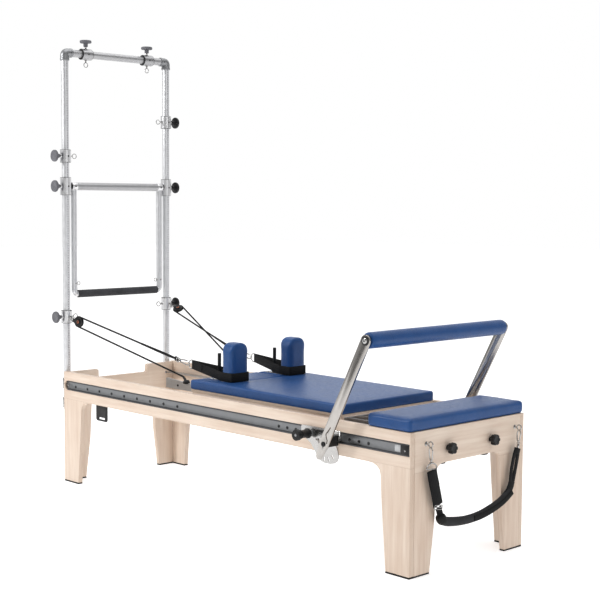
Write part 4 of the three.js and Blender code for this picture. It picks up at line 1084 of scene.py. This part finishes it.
def build_carriage_cushion():
    """The platform cushion, with a notch at its head end that the headrest lies in."""
    a, b = low("carriage_pad"), high("carriage_pad")
    roll, notch_end, notch_half = 0.010, HEAD_X + 1.170, 0.130
    inset = Vector([roll] * 3)
    cores = [((Vector((notch_end, a.y, a.z)) + inset, b - inset), 0.0)]
    for y0, y1 in ((a.y, -notch_half), (notch_half, b.y)):
        cores.append(((Vector((a.x, y0, a.z)) + inset, Vector((b.x, y1, b.z)) - inset), 0.0))
    breaks = ([a.x, notch_end, b.x], [a.y, -notch_half, notch_half, b.y], [a.z, b.z])
    cushion("carriage_cushion", breaks, lambda x, y: x > notch_end or abs(y) > notch_half, cores, roll,
            "carriage", "carriage_pad", 0.0012, 0.002, 0.018)


def build_shoulder_rest(side):
    """Upright block with a rounded crown, foam-filled and drawn tight by its cover."""
    node = f"shoulder_rest_{side}"
    a, b = low(node), high(node)
    roll, crown = 0.012, 0.040
    straight = (Vector((a.x + roll, a.y + roll, a.z + roll)), Vector((b.x - roll, b.y - roll, b.z - crown)))
    dome = (Vector((a.x + roll, a.y + crown, b.z - crown)), Vector((b.x - roll, b.y - crown, b.z - crown)))
    cores = [(straight, 0.0), (dome, crown - roll)]
    breaks = ([a.x, b.x], [a.y, b.y], [a.z, b.z])
    cushion(f"{node}_cushion", breaks, lambda x, y: True, cores, roll, "carriage", node, 0.0, 0.002, 0.009)


# ---- carriage -------------------------------------------------------------------------------
def build_carriage():
    a, b = low("carriage_pad"), high("carriage_pad")
    board = soft_block((a.x + 0.003, -0.290, a.z - BOARD), (b.x - 0.003, 0.290, a.z - 0.0002), 0.0014)
    board.piece("carriage_board", MAPLE_BOARD, "carriage", "carriage_base")
    under = a.z - 0.0115
    bracket = soft_block(at(1.548, -0.172, 0.487), at(1.558, 0.172, under), 0.001)
    for x in (HEAD_X + 1.150, HEAD_X + 1.830):
        for _, sign in SIDES:
            bracket.join(block_across(sign, 0.262, 0.280, (x - 0.014, x + 0.014), (0.533, under), 0.0015))
    bracket.piece("carriage_brackets", BLACK_METAL, "carriage", "carriage_base")
    for side, sign in SIDES:
        skirt = block_across(sign, 0.272, 0.287, (a.x + 0.006, b.x - 0.006), (0.528, a.z - 0.0121), 0.0014)
        skirt.piece(f"carriage_skirt_{side}", MAPLE_BOARD, "carriage")
        build_cleat_bar(side, sign)
        build_post(side, sign)
        build_strap_loop(side, sign)
    for node in ("wheel_set_front", "wheel_set_rear"):
        build_wheels(node)


def build_cleat_bar(side, sign):
    """Aluminium bar that reaches from under the carriage to the rope cleat."""
    outline = [(0.648, 0.549), (1.099, 0.549), (1.099, 0.5735), (0.970, 0.5735), (0.952, 0.579),
               (0.835, 0.587), (0.652, 0.5975), (0.648, 0.594)]
    inner, thickness, y = sign * 0.188 + 0.004, 0.008, sign * 0.188
    bar = plate(outline, at(0, inner, 0), FORWARD, UP, thickness)
    bar.piece(f"cleat_bar_{side}", RAIL, "carriage", "carriage_base")
    for x in (0.742, 0.928):
        bolt(f"cleat_bar_bolt_{side}_{round(x * 1000)}", at(x, sign * 0.1921, 0.568), (0, sign, 0), 0.0056,
             0.0028, "carriage", BLACK_METAL)
    base = solid([(0.0165, 0.5835), (0.0170, 0.5845), (0.0170, 0.5905), (0.0150, 0.5965), (0.0110, 0.6005),
                  (0.0055, 0.6020)], at(0.805, y, 0), UP, 48, 12, 0.02)
    throat = wire([at(0.800, y, 0.5965), at(0.782, y, 0.6135)], 0.0062, 20)
    base.join(throat).piece(f"rope_cleat_{side}", BLACK_PLASTIC, "carriage", "carriage_base")


def build_post(side, sign):
    """Steel foot plate and black pin of a shoulder rest."""
    node = f"shoulder_post_{side}"
    a, b = low(node), high(node)
    top = a.z + 0.003
    soft_block(a, (b.x, b.y, top), 0.0012, 2).piece(f"{node}_plate", STAINLESS, "carriage", node)
    pin = solid([(0.0130, top), (0.0130, top + 0.004), (0.0105, top + 0.006), (0.0084, top + 0.008),
                 (0.0084, b.z - 0.0015), (0.0070, b.z)], at(1.040, sign * 0.177, 0), UP, 40)
    pin.piece(f"{node}_pin", BLACK_PLASTIC, "carriage", node)
    for y in (0.205, 0.150):
        for x in (1.028, 1.080):
            screw(f"{node}_screw_{round(x * 1000)}_{round(y * 1000)}", at(x, sign * y, top - 0.0004), UP,
                  "carriage", CHROME)


def build_strap_loop(side, sign):
    """Webbing band round the shoulder rest, closed through a D-ring with a spring hook."""
    node = f"strap_loop_{side}"
    a, b = low(f"shoulder_rest_{side}"), high(f"shoulder_rest_{side}")
    gap, height, rise, head = 0.0019, 0.6556, 0.112, HEAD_X + 0.8665
    inner, outer = sorted((a.y - gap, b.y + gap), key=abs)

    def lifted(x, y):
        return Vector((x, y, height + max(0.0, a.x - x) * rise))

    corners = [lifted(head, sign * 0.1965), lifted(a.x - gap, inner), lifted(b.x + gap, inner),
               lifted(b.x + gap, outer), lifted(a.x - gap, outer), lifted(head, sign * 0.2035)]
    band = swept(cornered(corners, 0.007, closed=True), strap_section(0.042, 0.0026), closed=True, up=UP)
    band.piece(f"{node}_webbing", WEBBING, "carriage", node, crease=60)
    aside = Vector((0, sign * 0.0024, 0))
    doubled = [corners[5].lerp(corners[4], t) + aside for t in (0.03, 0.36)]
    patch = swept(doubled, strap_section(0.0385, 0.0020), up=UP)
    patch.piece(f"{node}_doubling", WEBBING, "carriage", crease=60)
    x, y, z = HEAD_X + 0.8685, sign * 0.200, lifted(head, 0).z
    ring = [Vector((x, y, z - 0.020)), Vector((x, y, z + 0.020))]
    ring += [Vector((x - 0.004 - reach, y, z + rise)) for reach, rise in arc(0.026, 0.0215, 90, -90, 12)]
    wire(ring, 0.0026, closed=True).piece(f"{node}_ring", CHROME, "carriage")
    snap_hook(f"{node}_hook", (HEAD_X + 0.745, y, z + 0.0125), (x - 0.026, y, z + 0.001), "carriage", 0.019,
              0.0029)


def build_wheels(node):
    """Two grooved wheels with bearings on a steel axle."""
    body, centre = body_of(node), middle(node)
    radius, half, inner, outer = 0.0238, 0.0125, 0.2985, 0.3235
    rim = [(0.0085, -half), (0.0180, -half), (0.0195, 0.002 - half), (radius - 0.001, 0.002 - half),
           (radius, 0.0035 - half)]
    tread = [(r, h + (inner + outer) / 2) for r, h in rim + mirrored(rim)]
    race = [(0.0088, inner + 0.002), (0.0088, outer - 0.002), (0.0060, outer - 0.001)]
    for side, sign in SIDES:
        out = (0, sign, 0)
        turned(tread, centre, out, 64).piece(f"{node}_{side}_tyre", BLACK_PLASTIC, body, node)
        solid(race, centre, out, 40).piece(f"{node}_{side}_bearing", SPRING_STEEL, body, node)
    axle = rod(0.0058, -inner - 0.002, 2 * inner + 0.004, 0.0006, centre, ACROSS, 32)
    axle.piece(f"{node}_axle", SPRING_STEEL, body, node)


# ---- ropes and pulleys ----------------------------------------------------------------------
SHEAVE_RADIUS = 0.026
ROPE_RADIUS = 0.0042
SHACKLE_BACK = 0.0345
ROPES = {
    "near": {"centre": (0.088, -0.326, 0.842), "across": (0.20, 0.04, -0.98)},
    "far": {"centre": (0.088, 0.326, 0.876), "across": (0.25, 0.88, 0.41)},
}


def build_ropes():
    """Each rope runs from its strap loop round its pulley and back to its cleat."""
    for side, sign in SIDES:
        centre = at(*ROPES[side]["centre"])
        hook, cleat = at(0.736, sign * 0.200, 0.701), at(0.784, sign * 0.188, 0.614)
        run, across = (hook - centre).normalized(), Vector(ROPES[side]["across"])
        aside = (across - run * across.dot(run)).normalized()
        axis = run.cross(aside)
        round_sheave = [centre - aside * a - run * b for a, b in arc(SHEAVE_RADIUS, SHEAVE_RADIUS, 0, 180,
                                                                     18)]
        start, end = round_sheave[0], round_sheave[-1]
        out = [hook.lerp(start, i / 24) for i in range(24)]
        back = [end.lerp(cleat, i / 24) for i in range(1, 25)]
        node, ends = f"rope_{side}", {"start": tuple(centre + run * 0.035), "end": tuple(hook)}
        rope = wire(out + round_sheave + back, ROPE_RADIUS, 16)
        spliced = [hook.lerp(start, t) for t in (0.010, 0.03, 0.08, 0.15, 0.22, 0.30, 0.345)]
        splice = wire(spliced, 0.0066, 16, scale=lambda t: 0.78 + 0.22 * math.sin(math.pi * min(1, t * 1.2)))
        for name, shape in (("braid", rope), ("splice", splice)):
            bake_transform(shape.piece(f"{node}_{name}", BRAID, None, node, crease=60))
        way = (hook - start).normalized()
        loop = hoop(hook + way * 0.004, ACROSS, 0.0088, 0.0036, 32, 1.35, way)
        loop.piece(f"{node}_loop", BRAID, "carriage")
        build_pulley(side, sign, centre, run, aside, axis)


def build_pulley(side, sign, centre, run, aside, axis):
    """Grooved sheave between two cheeks, hung on its collar by a chrome shackle."""
    groove = [(0.0056, -0.0066), (0.0100, -0.0066), (0.0105, -0.0052), (0.0230, -0.0052), (0.0250, -0.0070),
              (0.0276, -0.0068), (0.0274, -0.0052), (0.0226, -0.0015)]
    wheel = turned([*groove, (0.0223, 0.0), *mirrored(groove)], centre, axis, 64)
    wheel.piece(f"sheave_{side}_wheel", BLACK_PLASTIC, f"sheave_{side}", f"sheave_{side}")
    node = f"pulley_block_{side}"
    outline = [*arc(0.013, 0.013, -90, 90, 16), (-0.020, 0.0115), (-0.0375, 0.0085), (-0.0375, -0.0085),
               (-0.020, -0.0115)]
    block = plate(outline, centre + axis * 0.0074, run, aside, 0.0024)
    block.join(plate(outline, centre - axis * 0.0098, run, aside, 0.0024))
    block.join(rod(0.0048, -0.0122, 0.0244, 0.0008, centre, axis, 32))
    block.piece(f"{node}_cheeks", BLACK_METAL, "bed", node)
    for place, way in (("inner", -1), ("outer", 1)):
        disc = turned([(0.0, 0.0098), (0.0072, 0.0098), (0.0072, 0.0106), (0.0064, 0.0113), (0.0046, 0.0113)],
                      centre, axis * way, 40)
        disc.piece(f"{node}_accent_{place}", ACCENT, "bed")
    grip = centre - run * SHACKLE_BACK
    collar = at(TOWER_X, sign * UPRIGHT_Y, middle(f"pulley_collar_{side}").z)
    post = collar + Vector((0.044, 0, 0))
    pin = post + Vector((-0.007, 0, -0.012))
    belly = grip.lerp(post + Vector((0, 0, -0.012)), 0.5)
    link = [grip + aside * 0.008, belly + aside * 0.009, pin, belly - aside * 0.009, grip - aside * 0.008]
    shackle = rod(0.0042, -0.0098, 0.0196, 0.0008, grip, axis, 28)
    shackle.join(rod(0.0055, 0.026, 0.021, 0.001, collar, FORWARD, 32))
    shackle.join(rod(0.0048, -0.0215, 0.027, 0.001, post, UP, 28))
    shackle.join(wire(curve(link, 8, closed=True), 0.0022, closed=True))
    shackle.piece(f"{node}_shackle", CHROME, "bed")


# ---- foot strap -----------------------------------------------------------------------------
STRAP_X = 2.434


STRAP_UP = Vector((0, 0.14, 1.0)).normalized() * 0.0085


def hang(y, z, forward=0.0):
    return at(STRAP_X + forward, y, z)


def hung(*spots, steps=8):
    return curve([hang(*spot) for spot in spots], steps)


def build_foot_strap():
    """Loop across the foot end: webbing at both sides, a foam sleeve where the feet push."""
    node = "foot_strap"
    snap_hook(f"{node}_hook_near", hang(-0.265, 0.447), hang(-0.2705, 0.5145), node, 0.016, 0.0027)
    ring = [hang(-0.295, 0.431), hang(-0.233, 0.4245)]
    ring += [hang(-0.264 + y, 0.4285 + z) for y, z in arc(0.0315, 0.0225, 15, 165, 10)]
    wire(ring, 0.0026, closed=True).piece(f"{node}_ring", CHROME, node, node)
    wide = hung((-0.264, 0.4235), (-0.256, 0.385, 0.002), (-0.240, 0.335, 0.002), (-0.2215, 0.277))
    build_flat("wide", wide, 0.056, 0.0034)
    build_flat("fold", [point + Vector((0.0034, 0, 0)) for point in wide[1:14]], 0.053, 0.0026)
    pin = [hang(-0.243, 0.272), hang(-0.197, 0.2655)]
    buckle = Shape()
    for shift in (Vector(), STRAP_UP, -STRAP_UP):
        buckle.join(wire([point + shift for point in pin], 0.0021))
    for point in pin:
        buckle.join(wire([point - STRAP_UP, point + STRAP_UP], 0.0021))
    buckle.piece(f"{node}_buckle", CHROME, node)
    build_flat("narrow", hung((-0.2190, 0.268, -0.001), (-0.2120, 0.248), (-0.2040, 0.226)), 0.034, 0.0032)
    end = wire(hung((-0.2060, 0.232), (-0.1980, 0.2155), (-0.1800, 0.2065)), 0.0215, 28,
               scale=lambda t: 0.66 + 0.34 * math.sin(math.pi * min(1.0, 0.22 + t * 0.75)))
    end.piece(f"{node}_end_cap", RUBBER, node, node, crease=60)
    tube = hung((-0.192, 0.211), (-0.160, 0.2015), (-0.100, 0.1930), (-0.040, 0.1895), (0.030, 0.1925),
                (0.090, 0.2020), (0.150, 0.2170), (0.195, 0.2340), (0.2400, 0.2600), steps=10)
    sleeve = swept(tube, arc(0.0170, 0.0195, 0, 360, 32)[:-1], up=FORWARD,
                   scale=lambda t: 0.93 + 0.04 * math.sin(11 * t) * (1 - t) + 0.10 * max(0.0, t - 0.45))
    sleeve.piece(f"{node}_sleeve", FOAM, node, node, crease=60)
    flap = [point + Vector((0.0170, 0, 0.0035)) for point in tube[34:]]
    build_flat("flap", flap, 0.024, 0.0022, (0, 0.3, 1))
    build_flat("joint", hung((0.224, 0.252), (0.2450, 0.2800), (0.2550, 0.3050)), 0.042, 0.0042)
    for place, offset in (("low", -0.0130), ("high", 0.0130)):
        strand = hung((0.2540 + offset * 0.7, 0.3020), (0.2640 + offset, 0.3500), (0.2760 + offset, 0.3950),
                      (0.2860 + offset * 0.8, 0.4290))
        build_flat(f"strand_{place}", strand, 0.0215, 0.0045)
    build_flat("fold_end", hung((0.2830, 0.4180), (0.2875, 0.4300), (0.2910, 0.4400), steps=4), 0.040, 0.0085)
    swivel = rod(0.0058, 0.0, 0.016, 0.001, hang(0.2935, 0.4405), (0, 0.12, 1), 28)
    swivel.piece(f"{node}_swivel", CHROME, node)
    snap_hook(f"{node}_hook_far", hang(0.2955, 0.4545), hang(0.3000, 0.5145), node, 0.0165, 0.0026)


def build_flat(name, line, width, thickness, up=ACROSS):
    """One length of flat webbing that belongs to the foot strap."""
    flat = swept(line, strap_section(width, thickness), up=up)
    flat.piece(f"foot_strap_{name}", WEBBING, "foot_strap", "foot_strap", crease=60)


# ---- camera, light, floor -------------------------------------------------------------------
def build_stage():
    scene = bpy.context.scene
    size, white = 30.0, (1.0, 1.0, 1.0, 1.0)
    corners = [(-size, -size, 0), (size, -size, 0), (size, size, 0), (-size, size, 0)]
    mesh = bpy.data.meshes.new("floor")
    mesh.from_pydata(corners, [], [(0, 1, 2, 3)])
    floor = bpy.data.objects.new("floor", mesh)
    scene.collection.objects.link(floor)
    paper = Graph("studio_floor", None, (0.80, 0.80, 0.80), 0.9)
    mesh.materials.append(paper.finish(Emission_Color=white, Emission_Strength=0.50))
    scene.world = studio_world(white)
    scene.view_settings.view_transform = "Standard"
    scene.view_settings.gamma = 0.92
    area_light("key", (-2.6, -4.4, 3.4), (0.0, 0.0, 0.5), 1.0, 112.0)
    area_light("fill", (5.4, -0.6, 2.8), (0.8, 0.0, 0.5), 2.6, 26.0)
    area_light("top", (0.0, 0.4, 5.4), (0.0, 0.0, 0.4), 4.5, 70.0)


def studio_world(color):
    """White backdrop all round, but the metal reflects a darker room on the side that the key light is on."""
    away_from_key, dark = (-0.723, 0.691, 0.0), 0.24
    world = bpy.data.worlds.new("studio")
    world.use_nodes = True
    nodes = Nodes(world.node_tree)
    way = nodes.add("TexCoord").outputs["Generated"]
    ahead = nodes.add("VectorMath", {"operation": "DOT_PRODUCT"}, i0=way, i1=away_from_key).outputs["Value"]
    upward = nodes.add("SeparateXYZ", Vector=way).outputs["Z"]
    room = nodes.math("MAXIMUM", nodes.ramp(ahead, -0.1, 0.75, dark), nodes.ramp(upward, 0.35, 0.95, dark))
    seen = nodes.add("LightPath").outputs["Is Camera Ray"]
    background = world.node_tree.nodes["Background"]
    nodes.put(background.inputs["Color"], color)
    nodes.put(background.inputs["Strength"], nodes.math("MAXIMUM", room, seen))
    return world


def area_light(name, place, target, size, power):
    light = bpy.data.lights.new(name, "AREA")
    light.size = size
    light.energy = power
    lamp = bpy.data.objects.new(name, light)
    lamp.location = place
    lamp.rotation_euler = (Vector(target) - Vector(place)).to_track_quat("-Z", "Y").to_euler()
    bpy.context.scene.collection.objects.link(lamp)


def build_camera():
    """Eye height of a standing person, looking along the bed from beyond its foot end."""
    azimuth, pitch, roll = math.radians(46.339), math.radians(4.402), math.radians(0.339)
    level_back = Vector((math.sin(azimuth), -math.cos(azimuth), 0)) * math.cos(pitch)
    back = level_back + Vector((0, 0, math.sin(pitch)))
    level = (-back).cross(Vector(UP)).normalized()
    upward = level.cross(-back)
    right = math.cos(roll) * level + math.sin(roll) * upward
    up = -math.sin(roll) * level + math.cos(roll) * upward
    data = bpy.data.cameras.new("camera")
    data.lens, data.sensor_width = 76.70, 36.0
    camera = bpy.data.objects.new("camera", data)
    turn = Matrix((right, up, back)).transposed().to_4x4()
    camera.matrix_world = Matrix.Translation(at(5.6519, -4.0531, 1.4703)) @ turn
    bpy.context.scene.collection.objects.link(camera)
    bpy.context.scene.camera = camera


build_camera()
build_stage()
build_bed()
build_tower()
build_footbar()
build_carriage()
build_cushions()
build_ropes()
build_foot_strap()
